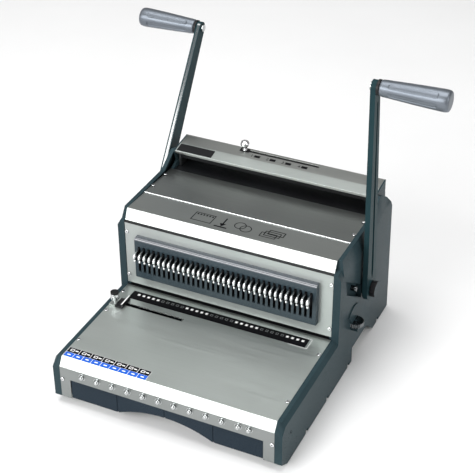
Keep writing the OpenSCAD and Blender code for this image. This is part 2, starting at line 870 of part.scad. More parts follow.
// Grip: tapered, round at its outer end, with a blind bore for the spindle
module grip(end) {
    round_r = 6;
    translate([grip_x, end[0], end[1]]) rotate([0, 90, 0])
        rotate_extrude() {
            polygon([
                [spindle_r + run_fit, 0], [grip_in_r - 1.5, 0], [grip_in_r, 1.5],
                [grip_out_r, grip_len - round_r], [grip_out_r - round_r, grip_len - round_r],
                [spindle_r + run_fit, grip_len - round_r]
            ]);
            translate([0, grip_len - round_r])
                square([grip_out_r - round_r, round_r]);
            translate([grip_out_r - round_r, grip_len - round_r])
                intersection() {
                    circle(round_r);
                    square(round_r);
                }
        }
}

module punch_arm() {
    color(teal) place()
        arm(punch_pivot, punch_end);
}

module punch_shaft() {
    color(bright) place()
        lever_shaft(punch_pivot);
}

module punch_pinions() {
    color(steel) place() both_sides()
        pinion(punch_pivot, punch_rack_x[0] - 2, punch_rack_x[1] + 2);
}

module punch_hub_cap() {
    color(black) place()
        hub_cap(punch_pivot);
}

module punch_grip_bolt() {
    color(black) place()
        grip_bolt(punch_end);
}

module punch_grip() {
    color(grip_grey) place()
        grip(punch_end);
}

module closing_arm() {
    color(teal) place() mirror([1, 0, 0])
        arm(closing_pivot, closing_end);
}

module closing_shaft() {
    color(bright) place() mirror([1, 0, 0])
        lever_shaft(closing_pivot);
}

module closing_pinions() {
    x1 = frame_in - slide_fit;
    color(steel) place() both_sides()
        pinion(closing_pivot, x1 - frame_t - 3, x1);
}

module closing_hub_cap() {
    color(black) place() mirror([1, 0, 0])
        hub_cap(closing_pivot);
}

module closing_grip_bolt() {
    color(black) place() mirror([1, 0, 0])
        grip_bolt(closing_end);
}

module closing_grip() {
    color(grip_grey) place() mirror([1, 0, 0])
        grip(closing_end);
}

// Drawer: a grooved face with an arched lower edge, and an open tray behind it
module chip_drawer() {
    z0 = pan_top + slide_fit;
    z1 = drawer_top - drawer_gap;
    back = drawer_face_y + drawer_face_t;
    tray_half = drawer_half - 6;
    tray_top = z1 - 4;
    color(slate) place() difference() {
        union() {
            box([-drawer_half, drawer_face_y, z0], [drawer_half, back, z1]);
            difference() {
                box([-tray_half, back - 1, z0], [tray_half, drawer_rear, tray_top]);
                box([-tray_half + drawer_wall, finger_depth + drawer_wall, z0 + drawer_wall],
                    [tray_half - drawer_wall, drawer_rear - drawer_wall, tray_top + 1]);
                box([-finger_half, drawer_face_y, z0 - 1], [finger_half, finger_depth, tray_top + 1]);
                both_sides()
                    box([finger_half + drawer_wall, back, z0 + drawer_wall],
                        [tray_half - drawer_wall, finger_depth + drawer_wall + 1, tray_top + 1]);
            }
        }
        rod_y([0, z0 + arch_h - arch_r], arch_r, drawer_face_y - 1, back + 0.01);
        for (x = [-1, 0, 1] * drawer_half / 2)
            box([x - 1, drawer_face_y - 1, z0 - 1], [x + 1, drawer_face_y + 1, z1 + 1]);
    }
}

// Edge guide: base plate, fence and a tongue through the deck slot
module edge_guide() {
    z0 = deck_h + slide_fit;
    fence_h = 8;
    fence_t = 2;
    tongue_w = guide_slot_w - 2 * slide_fit;
    under_z = deck_h - sheet_t - slide_fit;
    color(bright) place() {
        difference() {
            box([-guide_base[0], guide_y - 14, z0], [-guide_base[1], guide_y + 8, z0 + guide_base_t]);
            translate([guide_knob_at[0], guide_knob_at[1], z0 - 1])
                cylinder(r = guide_screw_r + run_fit, h = guide_base_t + 2);
        }
        box([-guide_base[1] - fence_t, guide_y - 14, z0], [-guide_base[1], guide_y + 12, z0 + fence_h]);
        box([-guide_tongue[0], guide_y - tongue_w / 2, under_z - 2],
            [-guide_tongue[1], guide_y + tongue_w / 2, z0]);
        box([-guide_tongue[0], guide_y - 6, under_z - 2], [-guide_tongue[1], guide_y + 6, under_z]);
    }
}

module guide_knob() {
    z0 = deck_h + slide_fit;
    color(bright) place() translate([guide_knob_at[0], guide_knob_at[1], z0 + slide_fit]) {
        cylinder(r = guide_screw_r, h = 12);
        translate([0, 0, guide_base_t])
            cylinder(r = 4, h = 3);
        translate([0, 0, 10])
            cylinder(r = 6, h = 8);
        translate([0, 0, 18])
            cylinder(r = 7, h = 4);
    }
}

// Gap selector: a slider under the hood, a neck through its slot and a tapered knob
module gap_selector() {
    slider_z = [crease[1] - 5, crease[1] - 0.4];
    color(bright) place() translate([gap_x, gap_y, 0]) {
        box([-8, -6, slider_z[0]], [8, 5, slider_z[1]]);
        box([-3, -gap_neck_w / 2, slider_z[0]], [3, gap_neck_w / 2, gap_foot_z + 1]);
        translate([0, 0, gap_foot_z])
            rotate_extrude()
                polygon([
                    [0, 0], [4, 0], [4, 0.8], [2.5, 1.4], [2.5, 2.4],
                    [7.3, 9], [7.5, 12.5], [6, 15], [3.3, 16.4], [0, 16.8]
                ]);
    }
}

// Margin dial: a knurled wheel on an upright pin, half out of the side cover
module margin_dial() {
    knurls = 24;
    color(bright) place() translate([dial_at[0], dial_at[1], dial_z]) difference() {
        cylinder(r = dial_r, h = dial_t);
        translate([0, 0, -1])
            cylinder(r = dial_pin_r + run_fit, h = dial_t + 2);
        for (k = [0:knurls - 1])
            rotate(360 * k / knurls)
                translate([dial_r, 0, -1])
                    rotate(45)
                        translate([-0.7, -0.7, 0])
                            cube([1.4, 1.4, dial_t + 2]);
    }
}

module backstop_bar() {
    half = post_x - post_collar_r - 2;
    z = [deck_h + slide_fit, panel_z - slide_fit];
    y = punch_y + pin_s / 2 + backstop_shift + 2;
    color(steel) place()
        box([-half, y, z[0]], [half, y + 10, z[1]]);
}

// Pull stud: a domed knob on a rod through the fascia and the selector rail
module pull_stud(i) {
    dome = 1.5;
    color(bright) place() {
        translate([stud_x(i), -slide_fit, stud_z])
            rotate([90, 0, 0])
                rotate_extrude()
                    polygon([
                        [0, 0], [stud_r, 0], [stud_r, stud_h - dome - 1],
                        [stud_r - dome, stud_h - 0.4], [0, stud_h]
                    ]);
        rod_y([stud_x(i), stud_z], stud_rod_r, -slide_fit - 1, rail_y + rail_t + stud_travel + 4);
    }
}

base_pan();
rubber_feet();
left_side_cover();
right_side_cover();
left_inner_frame();
right_inner_frame();
deck_plate();
fascia_plate();
front_panel();
top_cover_front();
top_cover_rear();
rear_panel();
closer_housing();
closer_end_plates();
housing_screws();
comb_block();
hook_rack();
die_plate();
die_rails();
stripper_plate();
guide_posts();
return_springs();
anvil_bar();
shaft_bushes();
selector_rail();
punch_beam();
punch_pins();
punch_racks();
press_bar();
press_racks();
punch_arm();
punch_shaft();
punch_pinions();
punch_hub_cap();
punch_grip_bolt();
punch_grip();
closing_arm();
closing_shaft();
closing_pinions();
closing_hub_cap();
closing_grip_bolt();
closing_grip();
chip_drawer();
edge_guide();
guide_knob();
gap_selector();
margin_dial();
backstop_bar();
for (i = [1:stud_n])
    pull_stud(i);
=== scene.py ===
# %% [markdown]
# # A wire binding machine
# The machine punches a row of holes in paper with its right lever and closes a wire comb with its left one.
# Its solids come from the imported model, each at its place in one shared frame.
# This lesson dresses them: it rounds edges, models the small fittings, and gives every surface a finish.

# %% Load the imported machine
import json
import math
import bmesh
import bpy
from mathutils import Matrix, Vector

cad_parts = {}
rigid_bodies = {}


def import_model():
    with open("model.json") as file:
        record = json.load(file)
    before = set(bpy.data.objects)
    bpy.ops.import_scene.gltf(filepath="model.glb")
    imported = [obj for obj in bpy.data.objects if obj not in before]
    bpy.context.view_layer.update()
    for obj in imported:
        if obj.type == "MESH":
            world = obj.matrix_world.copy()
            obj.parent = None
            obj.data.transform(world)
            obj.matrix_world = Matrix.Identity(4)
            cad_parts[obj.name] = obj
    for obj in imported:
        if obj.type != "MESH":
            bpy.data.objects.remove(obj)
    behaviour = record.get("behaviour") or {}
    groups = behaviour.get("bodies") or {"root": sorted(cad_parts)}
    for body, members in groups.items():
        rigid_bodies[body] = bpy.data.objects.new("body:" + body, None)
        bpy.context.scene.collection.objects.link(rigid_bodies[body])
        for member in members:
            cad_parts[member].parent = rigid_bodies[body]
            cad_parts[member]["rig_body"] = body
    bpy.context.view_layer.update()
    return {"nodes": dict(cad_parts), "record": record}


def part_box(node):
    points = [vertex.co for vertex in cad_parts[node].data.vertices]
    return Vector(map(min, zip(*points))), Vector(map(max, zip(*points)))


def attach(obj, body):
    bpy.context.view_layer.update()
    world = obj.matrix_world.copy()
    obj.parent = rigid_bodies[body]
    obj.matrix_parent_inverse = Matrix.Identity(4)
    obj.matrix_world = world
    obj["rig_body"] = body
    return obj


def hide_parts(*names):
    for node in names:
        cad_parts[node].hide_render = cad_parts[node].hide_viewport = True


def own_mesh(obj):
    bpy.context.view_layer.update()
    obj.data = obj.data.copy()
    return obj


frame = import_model()
nodes = frame["nodes"]
slot_of = {part["node"]: part["material_slot"] for part in frame["record"]["subparts"]}
mm = 0.001

# %% [markdown]
# ## The camera
# A photograph of the real thing was taken from the front right and from above, with a long lens.
# The camera could be placed by eye, but straight edges of the machine tell its place much better.
# So the azimuth, elevation, distance and lens below were fitted to corners of the machine.
# A very small roll levels it the way the picture hangs.

# %% Place the camera
azimuth = math.radians(25.326)
elevation = math.radians(33.444)
roll = math.radians(-0.267)
aim = Vector((0.0, -0.01455, 0.1983))
away = 1.98275
level = math.cos(elevation)
back = Vector((math.sin(azimuth) * level, -math.cos(azimuth) * level, math.sin(elevation)))
across = (-back).cross(Vector((0, 0, 1))).normalized()
upright = across.cross(-back)
tilted_across = across * math.cos(roll) + upright * math.sin(roll)
tilted_upright = upright * math.cos(roll) - across * math.sin(roll)
camera_data = bpy.data.cameras.new("camera")
camera_data.lens = 98.64
camera_data.sensor_width = 36.0
camera_data.sensor_fit = "HORIZONTAL"
camera = bpy.data.objects.new("camera", camera_data)
bpy.context.scene.collection.objects.link(camera)
camera.matrix_world = Matrix.Translation(aim + back * away) @ Matrix(
    (tilted_across, tilted_upright, back)).transposed().to_4x4()
bpy.context.scene.camera = camera
print("camera stands at", [round(c, 3) for c in camera.location])

# %% [markdown]
# ## Tools for finishes
# Every finish starts from the same shader and then gets its own grain.
# A picture could be wrapped round the metal, but a procedural grain has no seams and any resolution.
# All patterns read Object coordinates. Each piece keeps its place in its mesh, so they line up across pieces.

# %% Start a finish and give it a grain
def start_finish(name, colour, rough, metal=0.0):
    finish = bpy.data.materials.new(name)
    finish.use_nodes = True
    finish.diffuse_color = (*colour, 1.0)
    shader = finish.node_tree.nodes["Principled BSDF"]
    shader.inputs["Base Color"].default_value = (*colour, 1.0)
    shader.inputs["Roughness"].default_value = rough
    shader.inputs["Metallic"].default_value = metal
    return finish, finish.node_tree, shader


def grain(tree, scale, stretch=(1.0, 1.0, 1.0), detail=3.0):
    place = tree.nodes.new("ShaderNodeTexCoord")
    mapping = tree.nodes.new("ShaderNodeMapping")
    mapping.inputs["Scale"].default_value = stretch
    noise = tree.nodes.new("ShaderNodeTexNoise")
    noise.inputs["Scale"].default_value = scale
    noise.inputs["Detail"].default_value = detail
    tree.links.new(place.outputs["Object"], mapping.inputs["Vector"])
    tree.links.new(mapping.outputs["Vector"], noise.inputs["Vector"])
    return noise.outputs["Fac"]


print("a finish can start")

# %% Let a grain tint the colour, vary the gloss and lift the surface
def tint(tree, shader, source, dark, light, low=0.35, high=0.65):
    ramp = tree.nodes.new("ShaderNodeValToRGB")
    ramp.color_ramp.elements[0].position = low
    ramp.color_ramp.elements[0].color = (*dark, 1.0)
    ramp.color_ramp.elements[1].position = high
    ramp.color_ramp.elements[1].color = (*light, 1.0)
    tree.links.new(source, ramp.inputs["Fac"])
    tree.links.new(ramp.outputs["Color"], shader.inputs["Base Color"])


def vary_rough(tree, shader, source, low, high):
    span = tree.nodes.new("ShaderNodeMapRange")
    span.inputs["From Min"].default_value = 0.3
    span.inputs["From Max"].default_value = 0.7
    span.inputs["To Min"].default_value = low
    span.inputs["To Max"].default_value = high
    tree.links.new(source, span.inputs["Value"])
    tree.links.new(span.outputs["Result"], shader.inputs["Roughness"])


def add_bumps(tree, shader, source, height, strength):
    bump = tree.nodes.new("ShaderNodeBump")
    bump.inputs["Strength"].default_value = strength
    bump.inputs["Distance"].default_value = height
    tree.links.new(source, bump.inputs["Height"])
    tree.links.new(bump.outputs["Normal"], shader.inputs["Normal"])


print("and a grain can change its colour, gloss and surface")

# %% [markdown]
# ## Satin steel
# The sheets are stainless steel, brushed from side to side.
# A long thin noise, stretched along X, stands for the brush lines. It changes the roughness and lifts the
# surface a little, and a wide soft noise makes the sheet slightly uneven in tone.
# One steel could serve all sheets, but each sheet gets its own tone, partly its own and partly painted light
# and shade: darker or lighter by how the light falls on it.

# %% Make the satin steels
brush_lines = (9.0, 620.0, 620.0)
brush_depth = 0.02 * mm


def brushed_steel(name, dark, light, rough, metal=1.0):
    finish, tree, shader = start_finish(name, light, rough, metal)
    brush = grain(tree, 1.0, stretch=brush_lines, detail=4.0)
    cloud = grain(tree, 5.0, detail=2.0)
    tint(tree, shader, cloud, dark, light, low=0.3, high=0.7)
    vary_rough(tree, shader, brush, rough - 0.06, rough + 0.06)
    add_bumps(tree, shader, brush, brush_depth, strength=0.35)
    return finish


satin_steel = brushed_steel("satin_steel", (0.44, 0.475, 0.455), (0.495, 0.53, 0.51), 0.44)
# These tones are partly painted light and shade: a sheet that sits darker under the lamps gets a darker
# steel.
fascia_steel = brushed_steel("fascia_steel", (0.245, 0.26, 0.255), (0.29, 0.305, 0.30), 0.38)
panel_steel = brushed_steel("panel_steel", (0.335, 0.36, 0.35), (0.38, 0.405, 0.395), 0.38, metal=0.5)
hood_steel = brushed_steel("hood_steel", (0.34, 0.36, 0.35), (0.39, 0.41, 0.395), 0.36)
rear_steel = brushed_steel("rear_steel", (0.25, 0.265, 0.26), (0.29, 0.31, 0.30), 0.36)
closer_steel = brushed_steel("closer_steel", (0.345, 0.357, 0.343), (0.39, 0.402, 0.385), 0.36)
dark_steel = brushed_steel("tool_steel", (0.25, 0.26, 0.27), (0.36, 0.37, 0.38), 0.42)
print("made seven brushed steels")

# %% [markdown]
# ## Blue-green paint
# The side covers and lever arms carry a dark blue-green stove enamel.
# A flat colour would look like card. Enamel of this kind has a slight orange-peel skin, so a fine noise lifts
# it, and a coarser one varies its tone. A clear coat on the glossy one catches the lamps.

# %% Make the paints
peel_depth = 0.04 * mm


def enamel(name, dark, light, rough, shine):
    finish, tree, shader = start_finish(name, light, rough)
    fine = grain(tree, 650.0, detail=2.0)
    broad = grain(tree, 14.0, detail=3.0)
    tint(tree, shader, broad, dark, light)
    vary_rough(tree, shader, fine, rough - 0.05, rough + 0.07)
    add_bumps(tree, shader, fine, peel_depth, strength=0.3)
    shader.inputs["Specular IOR Level"].default_value = shine
    return finish


def tune(finish, sockets):
    shader = finish.node_tree.nodes["Principled BSDF"]
    for socket, value in sockets.items():
        shader.inputs[socket].default_value = value


teal_paint = enamel("teal_paint", (0.024, 0.042, 0.049), (0.029, 0.050, 0.058), 0.30, shine=0.05)
matt_paint = enamel("matt_paint", (0.014, 0.035, 0.041), (0.018, 0.043, 0.049), 0.34, shine=0.04)
gloss_paint = enamel("gloss_paint", (0.011, 0.029, 0.035), (0.014, 0.035, 0.041), 0.2, shine=0.6)
tune(gloss_paint, {"Coat Weight": 1.0, "Coat IOR": 2.2, "Coat Roughness": 0.2})
black_paint = enamel("black_paint", (0.004, 0.004, 0.005), (0.007, 0.008, 0.009), 0.45, shine=0.3)
print("made", teal_paint.name, "with a matt and a glossy twin, and", black_paint.name)

# %% [markdown]
# ## Plastics and rubber
# The comb block and the drawer are slate-coloured mouldings with a fine spark-eroded skin.
# The grips are a silver-grey moulding, the hub nuts are black, and the feet are rubber.
# They could share one plastic, but each real one has its own tone and gloss, so one tool makes them all.

# %% Make the plastics
skin_depth = 0.03 * mm
tread_depth = 0.1 * mm


def moulding(name, dark, light, rough, skin_scale=900.0, skin=skin_depth, shine=0.5):
    finish, tree, shader = start_finish(name, light, rough)
    skin_noise = grain(tree, skin_scale, detail=3.0)
    flow = grain(tree, 25.0, stretch=(0.4, 1.0, 1.0), detail=2.0)
    tint(tree, shader, flow, dark, light)
    vary_rough(tree, shader, skin_noise, rough - 0.06, rough + 0.06)
    add_bumps(tree, shader, skin_noise, skin, strength=0.4)
    shader.inputs["Specular IOR Level"].default_value = shine
    return finish


slate_plastic = moulding("slate_plastic", (0.027, 0.042, 0.052), (0.032, 0.049, 0.060), 0.27, shine=0.22)
drawer_slate = moulding("drawer_slate", (0.011, 0.020, 0.030), (0.014, 0.024, 0.035), 0.27, shine=0.1)
slate_gloss = moulding("slate_gloss", (0.022, 0.031, 0.045), (0.028, 0.039, 0.056), 0.24, shine=1.0)
tune(slate_gloss, {"Coat Weight": 0.4, "Coat IOR": 1.8})
grey_plastic = moulding("grey_plastic", (0.132, 0.15, 0.174), (0.162, 0.181, 0.206), 0.38)
tune(grey_plastic, {"Metallic": 0.75})
black_plastic = moulding("black_plastic", (0.003, 0.003, 0.004), (0.006, 0.006, 0.007), 0.36, shine=0.3)
foot_rubber = moulding("foot_rubber", (0.010, 0.010, 0.010), (0.018, 0.018, 0.018), 0.75, 500.0, tread_depth)
print("made six mouldings")

# %% [markdown]
# ## Printing inks
# The strip, the card, the scale and the drawings are printed in black, white, blue and grey.
# Ink on foil has the same faint skin as a moulding, so the same tool makes it, duller and with less shine.

# %% Make the inks
print_black = moulding("print_black", (0.002, 0.002, 0.003), (0.004, 0.004, 0.005), 0.5, shine=0.06)
print_white = moulding("print_white", (0.80, 0.80, 0.79), (0.88, 0.88, 0.87), 0.5)
print_blue = moulding("print_blue", (0.010, 0.095, 0.50), (0.016, 0.125, 0.62), 0.45, shine=0.15)
print_grey = moulding("print_grey", (0.20, 0.21, 0.21), (0.25, 0.26, 0.26), 0.5)
print("made four inks")

# %% [markdown]
# ## Bright metals
# Knobs, studs, screws and hooks are chromed: nearly a mirror, with faint wipe marks that vary the gloss.
# A perfect mirror would look unreal, so a soft noise, drawn out upwards, stands for the marks.
# The bushes of the shafts are brass.

# %% Make the bright metals
def bright_metal(name, dark, light, rough):
    finish, tree, shader = start_finish(name, light, rough, metal=1.0)
    wipe = grain(tree, 160.0, stretch=(1.0, 1.0, 0.3), detail=3.0)
    tint(tree, shader, wipe, dark, light)
    vary_rough(tree, shader, wipe, rough - 0.04, rough + 0.05)
    return finish


bright_chrome = bright_metal("bright_chrome", (0.74, 0.75, 0.76), (0.84, 0.85, 0.86), 0.12)
stud_chrome = bright_metal("stud_chrome", (0.46, 0.48, 0.48), (0.54, 0.56, 0.56), 0.22)
hook_chrome = bright_metal("hook_chrome", (0.80, 0.81, 0.82), (0.88, 0.89, 0.90), 0.26)
dull_chrome = bright_metal("dull_chrome", (0.12, 0.13, 0.135), (0.18, 0.19, 0.195), 0.24)
bush_brass = bright_metal("bush_brass", (0.60, 0.44, 0.20), (0.72, 0.54, 0.26), 0.28)
finish_of = {
    "satin_steel": satin_steel, "teal_paint": teal_paint, "slate_plastic": slate_plastic,
    "bright_chrome": bright_chrome, "tool_steel": dark_steel, "black_paint": black_paint,
    "black_plastic": black_plastic, "grey_plastic": grey_plastic, "foot_rubber": foot_rubber,
    "bush_brass": bush_brass,
}
print("finishes for", len(finish_of), "slots")

# %% [markdown]
# ## Tools for pieces
# Sharp CAD edges look wrong, because every real edge is a little round and catches the light.
# So most solids are copied, their loose triangles are merged into whole faces, and edges get a small bevel.
# Weighted normals then keep the flat faces flat and let only the bevels shade softly.

# %% Take a piece, and open it in edit mode
def leave():
    if bpy.context.object and bpy.context.object.mode != "OBJECT":
        bpy.ops.object.mode_set(mode="OBJECT")


def take(piece):
    leave()
    bpy.ops.object.select_all(action="DESELECT")
    piece.select_set(True)
    bpy.context.view_layer.objects.active = piece


def edit(piece):
    take(piece)
    bpy.ops.object.mode_set(mode="EDIT")


print("a piece can be taken and edited")

# %% Paint a whole piece, or the faces that a rule picks
def paint(piece, finish):
    piece.data.materials.clear()
    piece.data.materials.append(finish)


def repaint(piece, finish, wanted):
    piece.data.materials.append(finish)
    number = len(piece.data.materials) - 1
    for face in piece.data.polygons:
        if wanted(face.center, face.normal):
            face.material_index = number


print("and painted")

# %% Round the edges of a piece
speck = 0.005 * mm


def round_edges(piece, width, steps=2, corner=30.0):
    take(piece)
    if width > 0:
        bevel = piece.modifiers.new("rounded", "BEVEL")
        bevel.width = width
        bevel.segments = steps
        bevel.limit_method = "ANGLE"
        bevel.angle_limit = math.radians(corner)
        bpy.ops.object.modifier_apply(modifier="rounded")
        edit(piece)
        bpy.ops.mesh.select_all(action="SELECT")
        bpy.ops.mesh.remove_doubles(threshold=speck)
        bpy.ops.mesh.dissolve_degenerate(threshold=speck)
        leave()
    bpy.ops.object.shade_smooth_by_angle(angle=math.radians(46))
    even = piece.modifiers.new("even", "WEIGHTED_NORMAL")
    even.keep_sharp = True
    bpy.ops.object.modifier_apply(modifier="even")


print("edges closer than", round(speck / mm, 3), "mm melt together")

# %% Dress a solid with a rounded copy, and settle a new piece
weld = 0.004 * mm


def settle(piece, finish, body):
    leave()
    paint(piece, finish)
    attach(piece, body)
    return piece


def dress(node, name, width, steps=2, corner=30.0, finish=None):
    piece = bpy.data.objects.new(name, nodes[node].data.copy())
    bpy.context.scene.collection.objects.link(piece)
    edit(piece)
    bpy.ops.mesh.select_all(action="SELECT")
    bpy.ops.mesh.customdata_custom_splitnormals_clear()
    bpy.ops.mesh.remove_doubles(threshold=weld)
    bpy.ops.mesh.dissolve_limited(angle_limit=math.radians(0.6))
    leave()
    round_edges(piece, width, steps, corner)
    settle(piece, finish or finish_of[slot_of[node]], nodes[node]["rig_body"])
    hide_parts(node)
    return piece


print("solids can be dressed")

# %% [markdown]
# ## Sheets and covers
# The side covers are thick painted shells with well-rounded rims, so they get a wide bevel.
# The steel sheets are about a millimetre thick, and their cut edges are only just broken.
# They could be modelled again, but the solids have the right shape already, so copies of them are enough.

# %% Dress the covers and sheets
covers = [dress(side + "_side_cover", side + "_cover_shell", 1.3 * mm, 3) for side in ("left", "right")]
sheet_nodes = ("deck_plate", "fascia_plate", "front_panel", "top_cover_front", "top_cover_rear", "rear_panel",
               "closer_housing", "closer_end_plates")
steel_of = {"fascia_plate": fascia_steel, "front_panel": panel_steel, "top_cover_front": hood_steel,
            "top_cover_rear": rear_steel, "closer_housing": closer_steel}
edge_of = {"top_cover_rear": 0.7 * mm}
sheets = {}
for node in sheet_nodes:
    sheets[node] = dress(node, node + "_sheet", edge_of.get(node, 0.35 * mm), 3, finish=steel_of.get(node))
print("dressed", len(covers), "covers and", len(sheets), "sheets")

# %% Blacken the walls of the edge guide's slot, as painted shade
fascia_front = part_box("fascia_plate")[0].y
guide_slot_left = -173 * mm
guide_slot_right = -50.4 * mm


def from_fascia(y):
    return fascia_front + y * mm


guide_slot_y = from_fascia(160)


def in_guide_slot(centre, normal):
    lengthwise = guide_slot_left - 0.5 * mm < centre.x < guide_slot_right + 0.4 * mm
    return lengthwise and abs(centre.y - guide_slot_y) < 5 * mm and abs(normal.z) < 0.6


# Painted shade: the walls of the guide slot are painted black.
repaint(sheets["deck_plate"], black_paint, in_guide_slot)
print("guide slot runs over", round((guide_slot_right - guide_slot_left) / mm, 1), "mm")

# %% Paint highlights on the front strip of the closer and on the rear seam, and paint shade into the slot of the gap selector
gap_slot_y = from_fascia(417)
gap_slot_half = 80 * mm
closer_strip_rear = from_fascia(400)
rear_seam_y = from_fascia(275)


def on_closer_strip(centre, normal):
    return normal.y < -0.15 and normal.z > 0.5 and centre.y < closer_strip_rear


def in_gap_slot(centre, normal):
    inside = abs(centre.y - gap_slot_y) < 2.5 * mm and abs(centre.x) < gap_slot_half
    return inside and abs(normal.z) < 0.6


def on_rear_seam(centre, normal):
    return normal.y < -0.2 and abs(centre.y - rear_seam_y) < 1.5 * mm


# Painted highlight: faces of the closer that face forward and up get the lighter satin steel.
repaint(sheets["closer_housing"], satin_steel, on_closer_strip)
# Painted shade: the walls of the gap selector's slot are painted black.
repaint(sheets["closer_housing"], black_paint, in_gap_slot)
# Painted highlight: the front faces at the seam of the rear cover are painted bright chrome so the seam
# shines.
repaint(sheets["top_cover_rear"], bright_chrome, on_rear_seam)
print("slot, strip and seam repainted")

# %% [markdown]
# ## Comb block, hooks and drawer
# The comb block is a slate moulding, and chromed hooks stand in its slots; its slot walls are painted black
# as painted shade.
# The drawer front has a long arch for the fingers. All have their shape already, and need soft edges. The
# comb's upper chamfer and the drawer's top edge get a glossier slate as a painted highlight.
# Only the necks of the hooks keep their chrome; the rest of each plate is painted black as painted shade. A
# cut through each plate ends the bright part where the slot begins.

# %% Dress the comb block
comb_low, comb_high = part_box("comb_block")
slots_end = comb_high.x - 6 * mm
chamfer_foot = comb_high.z - 4.5 * mm
comb = dress("comb_block", "comb_moulding", 0.6 * mm, 3, corner=50)
# Painted shade: the walls of the comb's slots are painted black.
repaint(comb, black_paint, lambda centre, normal: abs(normal.x) > 0.9 and abs(centre.x) < slots_end)
# Painted highlight: the upper chamfer gets a glossier twin of the slate, so it shines as a pale line.
repaint(comb, slate_gloss, lambda centre, normal: normal.z > 0.3 and centre.z > chamfer_foot)
print("comb block is", round(2 * comb_high.x / mm, 1), "mm long")

# %% Dress the hooks
def cut_across(piece, axis, places):
    edit(piece)
    for place in places:
        bpy.ops.mesh.select_all(action="SELECT")
        bpy.ops.mesh.bisect(plane_co=tuple(axis * place), plane_no=tuple(axis))
    leave()


along_x = Vector((1, 0, 0))
along_y = Vector((0, 1, 0))
along_z = Vector((0, 0, 1))
nose_z = 162 * mm
neck_end = from_fascia(193.5)


def off_the_neck(centre, normal):
    return abs(normal.x) > 0.97 or centre.z < nose_z - 2 * mm or centre.y > neck_end


hooks = dress("hook_rack", "wire_hooks", 0.8 * mm, 3, finish=stud_chrome)
cut_across(hooks, along_y, [neck_end])
# Painted shade: the sides of the hook plates and everything below the nose or behind the neck are painted
# black.
repaint(hooks, black_paint, off_the_neck)
print("hooks have", len(hooks.data.polygons), "faces")

# %% Dress the drawer, the bars, the feet and the base pan
drawer_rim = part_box("chip_drawer")[1].z - 2 * mm
drawer = dress("chip_drawer", "drawer_moulding", 1.4 * mm, 4, finish=drawer_slate)
# Painted highlight: the top edge of the drawer gets the glossier slate, so it shines as a thin line.
repaint(drawer, slate_gloss, lambda centre, normal: 0.2 < normal.z < 0.9 and centre.z > drawer_rim)
dress("anvil_bar", "anvil_edge", 0.6 * mm)
dress("press_bar", "press_edge", 0.6 * mm)
dress("rubber_feet", "moulded_feet", 1.0 * mm)
dress("base_pan", "base_pan_sheet", 0.4 * mm)
print("dressed the front mouldings")

# %% [markdown]
# ## Return springs
# Two hidden coil springs lift the punches again after a stroke.
# Each turn could be moved by itself, and a real spring shortens evenly along its length.
# Here the coil is copied with smooth shading and given a mesh of its own; it does not shorten.

# %% Dress the springs and give them their own mesh
springs = dress("return_springs", "return_coils", 0.0)
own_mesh(springs)

# %% [markdown]
# ## Lever arms and hub nuts
# Both arms are pressed bars with a long groove, and eight-sided black nuts hold them on their shafts.
# Copies of the solids are enough here too. The left arm catches the light in a narrow line along its front.
# A lamp could be aimed at it, but a glossy strip between two cuts shines from other sides as well.

# %% Dress the arms, nuts and spindle bolts
spindle_head = 190 * mm
arms = {}
for lever in ("punch", "closing"):
    arms[lever] = dress(lever + "_arm", lever + "_arm_bar", 0.9 * mm, 3, finish=matt_paint)
    nut = dress(lever + "_hub_cap", lever + "_hub_nut", 0.8 * mm, 3)
    repaint(nut, teal_paint, lambda centre, normal: abs(normal.x) > 0.9)
    spindle = dress(lever + "_grip_bolt", lever + "_spindle", 0.6 * mm)
    repaint(spindle, stud_chrome, lambda centre, normal: abs(centre.x) < spindle_head)
arm_low, arm_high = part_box("closing_arm")
shine_from, shine_to = (arm_low.x + share * (arm_high.x - arm_low.x) for share in (0.2, 0.6))
cut_across(arms["closing"], along_x, (shine_from, shine_to))
repaint(arms["closing"], gloss_paint,
        lambda centre, normal: normal.y < -0.5 and shine_from < centre.x < shine_to)
print("dressed", len(arms), "levers, with a bright line of", round((shine_to - shine_from) / mm, 1), "mm")

# %% [markdown]
# ## Fluted grips
# Each grip is a moulded handle that swells towards its end, with long hollows between smooth ridges.
# It could be lathed from a profile, but the hollows need whole faces to push in.
# So a circle is extruded ring by ring, the faces of the hollows are inset and shrunk, and subdivision rounds
# it all.

# %% Build a round piece ring by ring
def disc(sides, radius, place, turn=(0, 0, 0)):
    bpy.ops.object.select_all(action="DESELECT")
    bpy.ops.mesh.primitive_circle_add(vertices=sides, radius=radius, fill_type="NGON", location=place,
                                      rotation=turn)
    bpy.ops.object.transform_apply(location=True, rotation=True, scale=True)
    return bpy.context.object


def ring_up(stations, sides, middle, axis):
    last_place, last_r = stations[0]
    turn = (0, math.pi / 2, 0) if axis.x > 0 else (0, 0, 0)
    sideways = Vector((1, 1, 1)) - axis
    piece = disc(sides, last_r, middle + axis * last_place, turn)
    edit(piece)
    bpy.ops.mesh.select_all(action="SELECT")
    for place, r in stations[1:]:
        step = axis * (place - last_place)
        bpy.ops.mesh.extrude_region_move(TRANSFORM_OT_translate={"value": tuple(step)})
        growth = axis + sideways * (r / last_r)
        bpy.ops.transform.resize(value=tuple(growth), center_override=tuple(middle + axis * place))
        last_place, last_r = place, r
    bpy.ops.mesh.select_all(action="SELECT")
    bpy.ops.mesh.normals_make_consistent(inside=False)
    leave()
    return piece


print("rings can be stacked")

# %% Pick faces by a rule, and swell a piece by subdivision
def pick_faces(piece, wanted):
    bpy.context.tool_settings.mesh_select_mode = (False, False, True)
    form = bmesh.from_edit_mesh(piece.data)
    for face in form.faces:
        face.select_set(wanted(face.calc_center_median(), face.normal))
    form.select_flush_mode()
    bmesh.update_edit_mesh(piece.data)


